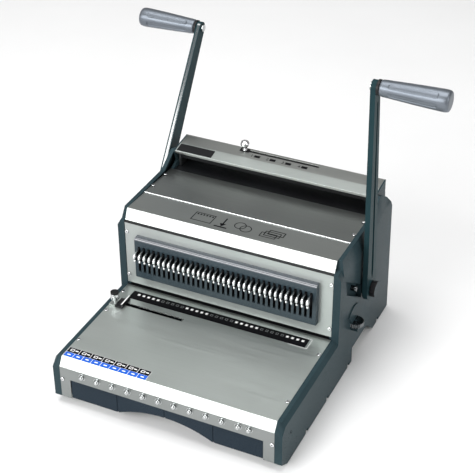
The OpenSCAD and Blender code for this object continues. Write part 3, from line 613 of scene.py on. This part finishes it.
def swell(piece):
    smooth = piece.modifiers.new("smooth", "SUBSURF")
    smooth.levels = 2
    smooth.render_levels = 2
    bpy.ops.object.modifier_apply(modifier="smooth")


print("faces can be picked")

# %% Set out the grips
grip_sides = 36
faces_per_flute = 6
faces_per_hollow = 3
hollow_from, hollow_to = 0.13, 0.84
hollow_rim = 0.7 * mm
hollow_depth = 1.1 * mm
grip_profile = ((0.0, 0.56), (0.0, 0.70), (0.02, 0.75), (0.10, 0.78), (0.13, 0.79), (0.30, 0.85),
                (0.50, 0.91), (0.70, 0.96), (0.84, 0.985), (0.88, 0.99), (0.95, 0.985), (0.985, 0.93),
                (1.0, 0.80), (1.0, 0.30))
print("a grip has", grip_sides // faces_per_flute, "flutes on", len(grip_profile), "rings")

# %% Model the grips
def fluted_grip(lever):
    low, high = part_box(lever + "_grip")
    middle = Vector((0, (low.y + high.y) / 2, (low.z + high.z) / 2))
    outward = 1 if high.x > 0 else -1
    inner = low.x if outward > 0 else high.x
    full = (high.z - low.z) / 2
    length = high.x - low.x
    stations = [(inner + outward * share * length, radius * full) for share, radius in grip_profile]
    piece = ring_up(stations, grip_sides, middle, along_x)
    piece.name = lever + "_grip_moulding"

    def in_hollow(centre, normal):
        share = outward * (centre.x - inner) / length
        turn = math.atan2(centre.z - middle.z, centre.y - middle.y) % (2 * math.pi)
        step = int(turn / (2 * math.pi) * grip_sides) % faces_per_flute
        return hollow_from < share < hollow_to and step < faces_per_hollow

    edit(piece)
    pick_faces(piece, in_hollow)
    bpy.ops.mesh.inset(thickness=hollow_rim, depth=0.0)
    bpy.ops.transform.shrink_fatten(value=-hollow_depth)
    bpy.ops.mesh.inset(thickness=hollow_rim, depth=0.0)
    leave()
    swell(piece)
    bpy.ops.object.shade_smooth_by_angle(angle=math.radians(50))
    settle(piece, grey_plastic, lever + "_handle")
    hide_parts(lever + "_grip")
    return piece


for lever in ("punch", "closing"):
    grip = fluted_grip(lever)
    print(grip.name, "has", len(grip.data.polygons), "faces")

# %% [markdown]
# ## Studs, edge guide and small fittings
# The pull studs are chromed domes, so the front edge of each gets a wide bevel. A washer ring sits round it.
# The edge guide is a steel slide; its end and fence are painted black as a painted dark reflection, and the
# top and front of the fence are painted white as a painted highlight.
# It could be split into pieces, but it is one bent sheet, so one cut divides its faces for two finishes.

# %% Dress the studs and fittings
stud_names = ["pull_stud_" + str(number) for number in range(1, 13)]
for name in stud_names:
    dress(name, name.replace("pull_stud", "stud_dome"), 1.9 * mm, 4, finish=stud_chrome)
dress("gap_selector", "gap_slider", 0.3 * mm)
dress("margin_dial", "margin_wheel", 0.3 * mm, finish=dull_chrome)
print("dressed", len(stud_names), "studs")

# %% Dress the edge guide
guide_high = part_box("edge_guide")[1]
steel_end = guide_high.x - 13 * mm
fence_left = guide_high.x - 3 * mm
fence_foot = guide_high.z - 7.5 * mm


def on_fence_edge(centre, normal):
    on_fence = centre.x > fence_left and centre.z > fence_foot
    return on_fence and (normal.z > 0.3 or normal.y < -0.3)


# Painted dark reflection: the end and fence of the guide are painted black.
guide_plate = dress("edge_guide", "edge_guide_plate", 0.35 * mm, finish=black_paint)
cut_across(guide_plate, along_x, [steel_end])
# Painted highlight: the top and front faces of the fence are painted white.
repaint(guide_plate, print_white, on_fence_edge)
repaint(guide_plate, satin_steel, lambda centre, normal: centre.x < steel_end)
print("edge guide has", len(guide_plate.data.polygons), "faces")

# %% Copy a piece to another place, and join pieces
def copy_at(pattern, matrix):
    twin = bpy.data.objects.new(pattern.name, pattern.data.copy())
    bpy.context.scene.collection.objects.link(twin)
    twin.data.transform(matrix)
    return twin


def join_all(parts, name):
    bpy.ops.object.select_all(action="DESELECT")
    for part in parts:
        part.select_set(True)
    bpy.context.view_layer.objects.active = parts[0]
    bpy.ops.object.join()
    whole = bpy.context.object
    whole.name = name
    return whole


print("what repeats can be copied and joined")

# %% Thicken a flat piece, and open it to a ring
def thicken(piece, height):
    edit(piece)
    bpy.ops.mesh.select_all(action="SELECT")
    bpy.ops.mesh.extrude_region_move(TRANSFORM_OT_translate={"value": (0, 0, height)})
    bpy.ops.mesh.select_all(action="SELECT")
    bpy.ops.mesh.normals_make_consistent(inside=False)
    leave()


def open_up(piece, rim):
    edit(piece)
    pick_faces(piece, lambda centre, normal: abs(normal.z) > 0.9)
    bpy.ops.mesh.inset(thickness=rim, depth=0.0)
    bpy.ops.mesh.bridge_edge_loops()
    leave()


print("a disc can become a ring")

# %% Model one washer of the studs and copy it
stud_z = 62.5 * mm
washer_r = 5.6 * mm
washer_sink = 0.2 * mm
washer_height = 0.9 * mm
washer_rim = 1.1 * mm
facing_front = Matrix.Rotation(math.pi / 2, 4, "X")
washer = disc(32, washer_r, (0, 0, -washer_sink))
thicken(washer, washer_height)
open_up(washer, washer_rim)
round_edges(washer, 0.3 * mm, 3)
washers = []
for name in stud_names:
    low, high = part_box(name)
    seat = Matrix.Translation(((low.x + high.x) / 2, fascia_front, stud_z)) @ facing_front
    washers.append(copy_at(washer, seat))
bpy.data.objects.remove(washer)
settle(join_all(washers, "stud_rings"), stud_chrome, "housing")
print("placed", len(washers), "washers")

# %% [markdown]
# ## Guide knob
# A knurled chrome barrel under a black cap clamps the edge guide.
# The knurls could be a bump in the metal, but then the outline would stay smooth. So rings are stacked to a
# barrel, and every other face of its side is inset and pushed out.

# %% Model the barrel
knurls = 36
knob_low, knob_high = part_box("guide_knob")
knob_middle = Vector(((knob_low.x + knob_high.x) / 2, (knob_low.y + knob_high.y) / 2, 0))
knob_r = (knob_high.x - knob_low.x) / 2
knob_height = knob_high.z - knob_low.z
knob_profile = ((0.0, 0.34), (0.34, 0.34), (0.37, 0.88), (0.42, 0.95), (0.83, 0.95), (0.86, 0.88),
                (0.88, 0.7))
stations = [(knob_low.z + share * knob_height, radius * knob_r) for share, radius in knob_profile]
knob = ring_up(stations, knurls, knob_middle, along_z)
knob.name = "guide_knob_barrel"


def on_knurl(centre, normal):
    share = (centre.z - knob_low.z) / knob_height
    turn = math.atan2(centre.y - knob_middle.y, centre.x - knob_middle.x) % (2 * math.pi)
    return 0.43 < share < 0.82 and int(turn / (2 * math.pi) * knurls) % 2 == 0


knurl_rim = 0.15 * mm
knurl_height = 0.3 * mm
edit(knob)
pick_faces(knob, on_knurl)
bpy.ops.mesh.inset(thickness=knurl_rim, depth=0.0)
bpy.ops.transform.shrink_fatten(value=knurl_height)
leave()
bpy.ops.object.shade_smooth_by_angle(angle=math.radians(35))
settle(knob, bright_chrome, "guide_clamp")
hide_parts("guide_knob")
print("guide knob is", round(2 * knob_r / mm, 1), "mm across")

# %% Model the cap
def drum(sides, radius, height, place, turn=(0, 0, 0)):
    bpy.ops.object.select_all(action="DESELECT")
    bpy.ops.mesh.primitive_cylinder_add(vertices=sides, radius=radius, depth=height, location=place,
                                        rotation=turn)
    bpy.ops.object.transform_apply(location=True, rotation=True, scale=True)
    return bpy.context.object


cap_height = 0.15 * knob_height
cap_dish = 0.4 * mm
cap = drum(knurls, 0.97 * knob_r, cap_height, knob_middle + along_z * (knob_high.z - cap_height / 2))
cap.name = "guide_knob_cap"
edit(cap)
pick_faces(cap, lambda centre, normal: normal.z > 0.9)
bpy.ops.mesh.inset(thickness=0.2 * knob_r, depth=0.0)
bpy.ops.transform.translate(value=(0, 0, -cap_dish))
leave()
round_edges(cap, 0.8 * mm, 3)
settle(cap, black_plastic, "guide_clamp")
print("its cap is", round(cap_height / mm, 2), "mm high")

# %% [markdown]
# ## Noses of the hooks
# Each hook ends in a polished round nose with a small bead under it, and the wire hangs between them.
# A flat plate catches the light only along its thin edge, so the noses are modelled as pebbles.
# A box gets bevelled edges and subdivision makes it round. One pair is made and copied along the row.

# %% Model one nose with its bead and copy it along the row
def block(width, depth, height, place, turn=0):
    bpy.ops.object.select_all(action="DESELECT")
    bpy.ops.mesh.primitive_cube_add(size=1, location=place, rotation=(0, 0, turn))
    piece = bpy.context.object
    piece.scale = (width, depth, height)
    bpy.ops.object.transform_apply(location=True, rotation=True, scale=True)
    return piece


def pebble(width, depth, height, place):
    piece = block(width, depth, height, place)
    edit(piece)
    bpy.ops.mesh.select_all(action="SELECT")
    bpy.ops.mesh.bevel(offset=0.3 * width, segments=1, affect="EDGES")
    leave()
    swell(piece)
    bpy.ops.object.shade_smooth()
    return piece


hook_count = 35
hook_pitch = 8.467 * mm
first_hook = -hook_pitch * (hook_count - 1) / 2
nose_y = from_fascia(185.3)
nose_size = (5.2 * mm, 8.8 * mm, 8.8 * mm)
bead_size = (4.0 * mm, 5.2 * mm, 5.0 * mm)
nose = pebble(*nose_size, (first_hook, nose_y, nose_z - 1 * mm))
bead = pebble(*bead_size, (first_hook, nose_y, nose_z - 8.8 * mm))
nose_pair = join_all([nose, bead], "nose_pair")
pairs = [copy_at(nose_pair, Matrix.Translation(along_x * hook_pitch * place)) for place in range(hook_count)]
bpy.data.objects.remove(nose_pair)
settle(join_all(pairs, "hook_noses"), hook_chrome, "housing")
print("polished", len(pairs), "noses")

# %% [markdown]
# ## Screw heads
# Small pan-head screws hold the sheets. One head is modelled: a disc with a rounded brim and a cross in it.
# The cross could be painted, but a cut catches light as the real one does, so a boolean takes it out.
# The sides and floor of the cross and the foot of the brim are painted black as painted shade. Copies then go
# to every seat.

# %% Model one screw head
def pick_edges(piece, wanted):
    bpy.context.tool_settings.mesh_select_mode = (False, True, False)
    form = bmesh.from_edit_mesh(piece.data)
    for edge in form.edges:
        edge.select_set(wanted(edge.verts[0].co, edge.verts[1].co))
    form.select_flush_mode()
    bmesh.update_edit_mesh(piece.data)


head_r = 3.2 * mm
head_height = 1.2 * mm
head = drum(24, head_r, head_height, (0, 0, head_height / 2))
edit(head)
pick_edges(head, lambda a, b: a.z > 0.9 * head_height and b.z > 0.9 * head_height)
bpy.ops.mesh.bevel(offset=0.75 * head_height, segments=4, affect="EDGES")
leave()
print("screw head is", round(2 * head_r / mm, 1), "mm across")

# %% Cut a cross into the head, and paint shade into it and round its foot
cross_length = 3.6 * mm
cross_width = 0.8 * mm
cross_depth = 0.7 * mm
cross_reach = 1.9 * mm
head_top = (0, 0, head_height)
bars = [block(cross_length, cross_width, 2 * cross_depth, head_top, turn) for turn in (0, math.pi / 2)]
for bar in bars:
    take(head)
    cut = head.modifiers.new("cut", "BOOLEAN")
    cut.operation = "DIFFERENCE"
    cut.object = bar
    bpy.ops.object.modifier_apply(modifier="cut")
    bpy.data.objects.remove(bar)
bpy.ops.object.shade_smooth_by_angle(angle=math.radians(40))


def in_cross_or_foot(centre, normal):
    in_cross = centre.to_2d().length < cross_reach and centre.z < 0.95 * head_height
    return in_cross or centre.z < 0.45 * head_height


paint(head, bright_chrome)
# Painted shade: the cross and the foot of the brim are painted black.
repaint(head, black_paint, in_cross_or_foot)
print("screw head has", len(head.data.polygons), "faces")

# %% Find the seats of the screws on the deck, the panel and the fascia
deck_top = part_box("deck_plate")[1].z
panel_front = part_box("front_panel")[0].y
screw_x = 170.5 * mm
seats = []
for x, y in ((-screw_x, 52), (-screw_x, 134), (-screw_x, 188), (screw_x, 53), (screw_x, 170)):
    seats.append(Matrix.Translation((x, from_fascia(y), deck_top)))
for x in (-screw_x, screw_x):
    for z in (105, 185):
        seats.append(Matrix.Translation((x, panel_front, z * mm)) @ facing_front)
    seats.append(Matrix.Translation((x, fascia_front, 47.5 * mm)) @ facing_front)
print(len(seats), "seats in front")

# %% Find the seats on the top cover and the rear panel
hood_edge_y = 221.0
hood_edge_z = 221.7
hood_fall = 6.0 / 143.5
cover_step = 1.2 * mm


def hood_height(y):
    return (hood_edge_z - (y - hood_edge_y) * hood_fall) * mm


hood_lean = Matrix.Rotation(-math.atan(hood_fall), 4, "X")
facing_rear = Matrix.Rotation(-math.pi / 2, 4, "X")
rear_low, rear_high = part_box("rear_panel")
for x in (-screw_x, screw_x):
    for y in (299, 340):
        seats.append(Matrix.Translation((x, from_fascia(y), hood_height(y) + cover_step)) @ hood_lean)
for x in (-160, -54, 54, 160):
    for z in (rear_low.z + 9 * mm, rear_high.z - 11 * mm):
        seats.append(Matrix.Translation((x * mm, rear_high.y, z)) @ facing_rear)
print(len(seats), "seats in all")

# %% Set the screws and the stop pin
heads = [copy_at(head, seat @ Matrix.Rotation(0.7 * place, 4, "Z")) for place, seat in enumerate(seats)]
bpy.data.objects.remove(head)
pin_profile = ((174.0, 4.0), (186.8, 4.0), (187.6, 3.6), (188.0, 2.8))
stations = [(x * mm, radius * mm) for x, radius in pin_profile]
stop_pin = ring_up(stations, 32, Vector((0, from_fascia(276), 140 * mm)), along_x)
bpy.ops.object.shade_smooth_by_angle(angle=math.radians(40))
paint(stop_pin, dull_chrome)
screws = join_all([*heads, stop_pin], "screw_heads")
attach(screws, "housing")
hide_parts("housing_screws")
print("set", len(heads), "screws and the stop pin")

# %% [markdown]
# ## Printed strip
# A black strip with small squares lies on the deck in front of the comb. Like the card, it is a printed foil.
# It could be painted by a shader, but real thickness keeps it crisp from any angle.
# One tool makes every patch: a plane is extruded to a foil and its corners are rounded.

# %% Make foils and frames
def foil(left, right, near, far, base, thick, corner=0.0):
    bpy.ops.object.select_all(action="DESELECT")
    bpy.ops.mesh.primitive_plane_add(size=1, location=((left + right) / 2, (near + far) / 2, base))
    piece = bpy.context.object
    piece.scale = (right - left, far - near, 1)
    bpy.ops.object.transform_apply(location=True, rotation=True, scale=True)
    if corner > 0:
        edit(piece)
        bpy.ops.mesh.select_all(action="SELECT")
        bpy.ops.mesh.bevel(offset=corner, segments=3, affect="VERTICES")
        leave()
    thicken(piece, thick)
    return piece


def frame_foil(left, right, near, far, base, thick, line):
    piece = foil(left, right, near, far, base, thick)
    open_up(piece, line)
    return piece


print("foils can be cut")

# %% Lay the strip and its squares
strip_left, strip_right = -155 * mm, 145 * mm
strip_near, strip_far = from_fascia(176), from_fascia(197)
strip_thick = 0.2 * mm
strip = foil(strip_left, strip_right, strip_near, strip_far, deck_top, strip_thick, 0.8 * mm)
strip.name = "deck_strip"
settle(strip, print_black, "housing")
ink = 0.08 * mm
square_left = -144.8 * mm
square_right = square_left + 4.2 * mm
square_near, square_far = from_fascia(187.4), from_fascia(191.8)
square_place = (square_left, square_right, square_near, square_far, deck_top + strip_thick)
full_square = foil(*square_place, ink, 0.5 * mm)
open_square = frame_foil(*square_place, ink, 0.55 * mm)
bright_squares = []
dim_squares = []
for place in range(hook_count - 1):
    shift = Matrix.Translation(along_x * hook_pitch * place)
    if place // 5 % 2 == 0:
        bright_squares.append(copy_at(full_square, shift))
    else:
        dim_squares.append(copy_at(open_square, shift))
bpy.data.objects.remove(full_square)
bpy.data.objects.remove(open_square)
settle(join_all(bright_squares, "strip_squares_white"), print_white, "housing")
settle(join_all(dim_squares, "strip_squares_outlined"), print_grey, "housing")
print("strip with", len(bright_squares), "white and", len(dim_squares), "outlined squares")

# %% Lay the lines at the end of the strip, and a rim of painted shade round the guide slot
line_thick = 0.1 * mm
line_width = 0.6 * mm
lines_left, lines_right = 118 * mm, 148.2 * mm
lines_near, lines_far = from_fascia(174.6), from_fascia(198.4)
end_lines = [foil(lines_right, lines_right + 0.8 * mm, lines_near, lines_far, deck_top, line_thick)]
for near in (lines_near, lines_far - line_width):
    end_lines.append(foil(lines_left, lines_right, near, near + line_width, deck_top, line_thick))
settle(join_all(end_lines, "strip_end_lines"), print_white, "housing")
# Painted shade: a thin black rim round the guide slot makes the slot look wider.
rim_reach = 3.5 * mm
slot_shade_rim = frame_foil(guide_slot_left, guide_slot_right, guide_slot_y - rim_reach, guide_slot_y + rim_reach,
                      deck_top, line_thick, 0.7 * mm)
slot_shade_rim.name = "guide_slot_shade_rim"
settle(slot_shade_rim, print_black, "housing")
print("laid", len(end_lines), "lines and the slot rim")

# %% [markdown]
# ## Painted shade round the comb's slots
# A thin black frame round each slot of the comb block is painted shade at its edges, which makes the slots
# look wide and deep.
# The edges of the block could be painted, but their faces are too narrow to show.
# So one flat frame is made, turned to the front, and copied from slot to slot.

# %% Frame the slots of the comb with painted shade
slot_low = comb_low.z + 14.5 * mm
slot_high = comb_high.z - 14.5 * mm
shade_frame_rim = 0.7 * mm
shade_frame_half = 1.5 * mm + shade_frame_rim
# Painted shade: one black frame, copied round every slot.
shade_frame = frame_foil(-shade_frame_half, shade_frame_half, -shade_frame_rim, slot_high - slot_low + shade_frame_rim, 0, line_thick,
                    shade_frame_rim)
shade_frames = []
for place in range(hook_count):
    seat = Matrix.Translation((first_hook + place * hook_pitch, comb_low.y, slot_low))
    shade_frames.append(copy_at(shade_frame, seat @ facing_front))
bpy.data.objects.remove(shade_frame)
settle(join_all(shade_frames, "slot_shade_frames"), print_black, "housing")
print("lined", len(shade_frames), "slots")

# %% [markdown]
# ## The card on the deck
# Near the front left a two-row card is stuck to the deck: black cells over blue ones, each with a light mark.
# A shader could draw it in one pattern, but cells of foil have clean edges and a little thickness.
# One cell and one mark of each kind are made, and copies fill the rows.

# %% Lay the backing and the cells of the card
black_cells = 7
blue_cells = 9
card_left = -172 * mm
card_right = -33.5 * mm
card_width = card_right - card_left
card_shift = 0.4 * mm
cell_thick = 0.12 * mm
card_top = deck_top + ink
backing = foil(card_left - card_shift, card_right - card_shift, from_fascia(9.2), from_fascia(31.0),
               deck_top, ink)
backing.name = "card_backing"
settle(backing, print_white, "housing")


def repeated(pattern, count):
    step = along_x * card_width / count
    copies = [copy_at(pattern, Matrix.Translation(step * place)) for place in range(count)]
    bpy.data.objects.remove(pattern)
    return copies


def card_row(count, near, far, name, finish):
    right = card_left + card_width / count - 0.9 * mm
    cell = foil(card_left, right, from_fascia(near), from_fascia(far), card_top, cell_thick, 0.4 * mm)
    return settle(join_all(repeated(cell, count), name), finish, "housing")


card_row(black_cells, 19.9, 30.6, "card_cells_black", print_black)
card_row(blue_cells, 9.6, 19.5, "card_cells_blue", print_blue)
print("card is", round(card_width / mm, 1), "mm wide")

# %% Lay the marks on the cells
mark_base = card_top + cell_thick
mark_thick = 0.06 * mm
black_middle = card_left + card_width / black_cells / 2
blue_middle = card_left + card_width / blue_cells / 2
open_mark = frame_foil(black_middle - 6 * mm, black_middle + 0.5 * mm, from_fascia(23), from_fascia(28),
                       mark_base, mark_thick, 1.1 * mm)
bar_mark = foil(black_middle + 2 * mm, black_middle + 7 * mm, from_fascia(24.4), from_fascia(26.6),
                mark_base, mark_thick, 0.3 * mm)
pill_mark = foil(blue_middle - 3.4 * mm, blue_middle + 2.4 * mm, from_fascia(13.6), from_fascia(15.8),
                 mark_base, mark_thick, 0.9 * mm)
marks = []
for pattern, count in ((open_mark, black_cells), (bar_mark, black_cells), (pill_mark, blue_cells)):
    marks.extend(repeated(pattern, count))
settle(join_all(marks, "card_marks"), print_white, "housing")
print("card with", len(marks), "marks")

# %% [markdown]
# ## Line drawings on the hood
# The front hood carries four small line drawings: a punched sheet, an arrow, a ring pair and a stack.
# They could be drawn straight on the slope, but flat shapes are easier to measure.
# So they are drawn round the origin, joined, and only then tipped and moved onto the sloping hood.

# %% Make rings and an arrow head
line = 1.3 * mm


def ring_foil(x, y, radius):
    piece = disc(32, radius, (x, y, 0))
    thicken(piece, ink)
    open_up(piece, line)
    return piece


def arrow_head(x, y, size):
    piece = disc(3, size, (x, y, 0), turn=(0, 0, math.pi))
    thicken(piece, ink)
    return piece


print("lines are", round(line / mm, 1), "mm wide")

# %% Draw the punched sheet and the arrow
hole_pitch = 5.0 * mm
hole_width = 2.6 * mm
hole_near, hole_far = 4.6 * mm, 8.2 * mm
first_hole = -68.5 * mm
arrow_x = -20.3 * mm
shaft_half = 1.1 * mm
drawing = [frame_foil(-72 * mm, -38 * mm, -13 * mm, 11 * mm, 0, ink, line)]
for place in range(6):
    left = first_hole + place * hole_pitch
    drawing.append(foil(left, left + hole_width, hole_near, hole_far, 0, ink))
drawing.append(foil(arrow_x - shaft_half, arrow_x + shaft_half, -4 * mm, 12 * mm, 0, ink))
drawing.append(arrow_head(arrow_x, -7 * mm, 6 * mm))
drawing.append(foil(-31 * mm, -10 * mm, -16 * mm, -13.2 * mm, 0, ink))
print("drew", len(drawing), "shapes")

# %% Draw the rings and the stack, and lay all shapes on the hood
ring_r = 9.5 * mm
page_width = 26 * mm
page_depth = 13 * mm
page_step = 5 * mm
drawing_y = 247
drawing.append(ring_foil(6 * mm, 2 * mm, ring_r))
drawing.append(ring_foil(17 * mm, -3 * mm, ring_r))
for place in range(3):
    left = 42 * mm + place * page_step
    near = -12 * mm + place * page_step
    drawing.append(frame_foil(left, left + page_width, near, near + page_depth, place * ink, ink, line))
hood_drawing = join_all(drawing, "hood_drawing")
hood_seat = Matrix.Translation((0, from_fascia(drawing_y), hood_height(drawing_y)))
hood_drawing.data.transform(hood_seat @ hood_lean)
settle(hood_drawing, print_black, "housing")
print("hood drawing of", len(drawing), "shapes")

# %% [markdown]
# ## Scale and plate on the closer
# Beside the slot of the gap selector there is a scale of four settings, and a dark plate sits at the left.
# The numbers could be built from strokes, but Blender's text is quicker. It gets a little thickness and is
# made into meshes before it is tipped onto the sheet.

# %% Make the scale
crown_rise = 3.0 / 25.0
crown_lean = Matrix.Rotation(math.atan(crown_rise), 4, "X")
scale_place = (0, from_fascia(407.5), 247.05 * mm)
setting_places = (-41, -14, 13, 41)
scale_near, scale_far = -3.2 * mm, 2.6 * mm
digit_size = 9 * mm
scale_parts = []
for number, x in enumerate(setting_places, 1):
    bpy.ops.object.select_all(action="DESELECT")
    bpy.ops.object.text_add(location=(x * mm - digit_size, scale_near, 0))
    digit = bpy.context.object
    digit.data.body = str(number)
    digit.data.size = digit_size
    digit.data.extrude = ink / 2
    bpy.ops.object.convert(target="MESH")
    bpy.ops.object.transform_apply(location=True, rotation=True, scale=True)
    scale_parts.append(bpy.context.object)
    scale_parts.append(foil((x - 2.5) * mm, (x + 7.5) * mm, scale_near, scale_far, 0, ink, 0.4 * mm))
closer_scale = join_all(scale_parts, "closer_scale")
closer_scale.data.transform(Matrix.Translation(scale_place) @ crown_lean)
settle(closer_scale, print_black, "housing")
print("scale with", len(setting_places), "settings")

# %% Make the painted shade round the foot of the gap selector, and the plate
strip_rise = 4.0 / 21.0
strip_lean = Matrix.Rotation(math.atan(strip_rise), 4, "X")
foot_shade_half, foot_shade_reach = 8 * mm, 4.6 * mm
plate_half, plate_reach = 31 * mm, 8.6 * mm
plate_place = (-139 * mm, from_fascia(388.5), 244.0 * mm)
low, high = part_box("gap_selector")
foot_shade_place = ((low.x + high.x) / 2, gap_slot_y, 248.16 * mm)
# Painted shade: a thin black foil round the foot of the gap selector.
foot_shade = foil(-foot_shade_half, foot_shade_half, -foot_shade_reach, foot_shade_reach, 0.15 * mm, 0.35 * mm, 1.0 * mm)
foot_shade.name = "selector_foot_shade"
foot_shade.data.transform(Matrix.Translation(foot_shade_place) @ crown_lean)
settle(foot_shade, black_plastic, "selector")
plate = foil(-plate_half, plate_half, -plate_reach, plate_reach, 0, 0.4 * mm, 0.8 * mm)
plate.name = "closer_plate"
plate.data.transform(Matrix.Translation(plate_place) @ strip_lean)
settle(plate, black_plastic, "housing")
print("shoe and plate in place")

# %% [markdown]
# ## Small closing details
# A black foil in the joint between the front panel and the hood, and a black foil on the throat under it, are
# painted shade.
# A tray closes the slanted window in the right cover, and a plug sits near the front of each cover.
# The gaps could be left open, but then the light inside shows. Foils close the straight ones, and the tray is
# a four-sided face that is extruded, inset and pushed in.

# %% Add the painted shade in the joint under the hood and in the throat
panel_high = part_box("front_panel")[1]
deck_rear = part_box("deck_plate")[1].y
joint_shade_near, joint_shade_far = from_fascia(209.4), from_fascia(213.2)
joint_shade_foot = panel_high.z - 1.3 * mm
joint_shade_height = 2.7 * mm
throat_shade_near, throat_shade_far = from_fascia(209.2), deck_rear - 0.2 * mm
# Painted shade: a black strip in the joint between the front panel and the hood.
joint_shade = foil(-panel_high.x, panel_high.x, joint_shade_near, joint_shade_far, joint_shade_foot, joint_shade_height)
joint_shade.name = "hood_joint_shade"
round_edges(joint_shade, 0.2 * mm)
settle(joint_shade, black_plastic, "housing")
# Painted shade: a black foil on the deck inside the throat.
throat_shade = foil(-panel_high.x, panel_high.x, throat_shade_near, throat_shade_far, deck_top, 0.15 * mm)
throat_shade.name = "throat_shade_foil"
settle(throat_shade, black_paint, "housing")
print("liner ends", round((deck_rear - fascia_front) / mm, 1), "mm behind the fascia")

# %% Model the tray of the window
tray_corners = ((227.2, 186.6), (235.6, 152.0), (303.0, 104.6), (299.6, 136.0))
tray_floor = 176.6 * mm
tray_depth = 7.3 * mm
tray_wall = 1.4 * mm
tray_bottom = 1.2 * mm
tray = disc(4, 1, (0, 0, 0))
tray.name = "window_tray"
edit(tray)
form = bmesh.from_edit_mesh(tray.data)
for vert, (y, z) in zip(form.verts, tray_corners):
    vert.co = (tray_floor, from_fascia(y), z * mm)
bmesh.update_edit_mesh(tray.data)
bpy.ops.mesh.select_all(action="SELECT")
bpy.ops.mesh.extrude_region_move(TRANSFORM_OT_translate={"value": (tray_depth, 0, 0)})
bpy.ops.mesh.select_all(action="SELECT")
bpy.ops.mesh.normals_make_consistent(inside=False)
pick_faces(tray, lambda centre, normal: normal.x > 0.9)
bpy.ops.mesh.inset(thickness=tray_wall, depth=0.0)
bpy.ops.mesh.extrude_region_move(TRANSFORM_OT_translate={"value": (tray_bottom - tray_depth, 0, 0)})
leave()
round_edges(tray, 0.3 * mm)
settle(tray, teal_paint, "housing")
print("tray has", len(tray.data.polygons), "faces")

# %% Model one plug and copy it to the other cover
plug_x = 185.9 * mm
plug_y = from_fascia(31)
plug_z = 52 * mm
plug_r = 3.4 * mm
plug_height = 1.2 * mm
plug_rim = 0.9 * mm
plug_dish = 0.7 * mm
plug = drum(28, plug_r, plug_height, (0, 0, 0), turn=(0, math.pi / 2, 0))
edit(plug)
pick_faces(plug, lambda centre, normal: normal.x > 0.9)
bpy.ops.mesh.inset(thickness=plug_rim, depth=0.0)
bpy.ops.transform.translate(value=(-plug_dish, 0, 0))
leave()
round_edges(plug, 0.25 * mm)
plugs = []
for x, turn in ((-plug_x, math.pi), (plug_x, 0)):
    seat = Matrix.Translation((x, plug_y, plug_z)) @ Matrix.Rotation(turn, 4, "Z")
    plugs.append(copy_at(plug, seat))
bpy.data.objects.remove(plug)
settle(join_all(plugs, "cover_plugs"), black_plastic, "housing")
print("set", len(plugs), "plugs")

# %% [markdown]
# ## The rest of the solids
# What has not been replaced stays as it is, with the finish of its slot.
# It lies inside the machine, where a bevel would hardly be seen. The parts seen through the throat are
# painted black as painted shade.

# %% Give every remaining solid its finish
left_as_cad = [name for name, node in nodes.items() if not node.hide_render]
# Painted shade: the parts seen through the throat are painted black.
throat_shade_parts = ("die_plate", "stripper_plate", "backstop_bar", "die_rails")
for name in left_as_cad:
    paint(nodes[name], black_paint if name in throat_shade_parts else finish_of[slot_of[name]])
print("kept as they are:", ", ".join(left_as_cad))

# %% [markdown]
# ## Floor and light
# A pale floor and a wide soft light in front suit brushed metal: it shows whatever it reflects.
# The space behind is a quieter grey, so the flat sheets stay mid grey while their bent front edges shine.
# One lamp could light it all, but three boxes keep the shadows soft.

# %% Lay the floor
floor_finish, floor_tree, floor_shader = start_finish("floor_paper", (0.86, 0.86, 0.86), 0.9)
tint(floor_tree, floor_shader, grain(floor_tree, 3.0), (0.85, 0.85, 0.85), (0.87, 0.87, 0.87))
bpy.ops.object.select_all(action="DESELECT")
bpy.ops.mesh.primitive_plane_add(size=40, location=(0, 0, 0))
floor = bpy.context.object
floor.name = "floor"
paint(floor, floor_finish)
print("floor laid")

# %% Tone the space around, brighter in front and at the left
world = bpy.data.worlds.new("studio")
bpy.context.scene.world = world
world.use_nodes = True
sky = world.node_tree
background = sky.nodes["Background"]
background.inputs["Strength"].default_value = 1.0
direction = sky.nodes.new("ShaderNodeTexCoord")
split = sky.nodes.new("ShaderNodeSeparateXYZ")
sky.links.new(direction.outputs["Generated"], split.inputs["Vector"])


def sky_ramp(axis, start, end):
    ramp = sky.nodes.new("ShaderNodeMapRange")
    ramp.inputs["From Min"].default_value = -1.0
    ramp.inputs["From Max"].default_value = 1.0
    ramp.inputs["To Min"].default_value = start
    ramp.inputs["To Max"].default_value = end
    sky.links.new(split.outputs[axis], ramp.inputs["Value"])
    return ramp.outputs["Result"]


both = sky.nodes.new("ShaderNodeMath")
both.operation = "MULTIPLY"
sky.links.new(sky_ramp("Y", 0.36, 0.34), both.inputs[0])
sky.links.new(sky_ramp("X", 1.2, 0.8), both.inputs[1])
sky.links.new(both.outputs["Value"], background.inputs["Color"])
print("sky toned")

# %% Set the lamps
def soft_box(name, place, aim_at, width, height, power):
    data = bpy.data.lights.new(name, "AREA")
    data.shape = "RECTANGLE"
    data.size = width
    data.size_y = height
    data.energy = power
    lamp = bpy.data.objects.new(name, data)
    bpy.context.scene.collection.objects.link(lamp)
    lamp.location = place
    lamp.rotation_euler = (Vector(aim_at) - Vector(place)).to_track_quat("-Z", "Y").to_euler()
    return lamp


lamps = [
    soft_box("front_box", (-0.95, -2.2, 1.35), (0, -0.1, 0.15), 1.8, 1.5, 62.0),
    soft_box("overhead_box", (-0.35, 0.0, 3.4), (0, 0, 0), 2.6, 2.6, 82.0),
    soft_box("right_box", (2.3, -0.7, 1.3), (0.2, 0, 0.15), 1.6, 1.6, 24.0),
]
bpy.context.scene.view_settings.view_transform = "Standard"
print("set", len(lamps), "lamps")
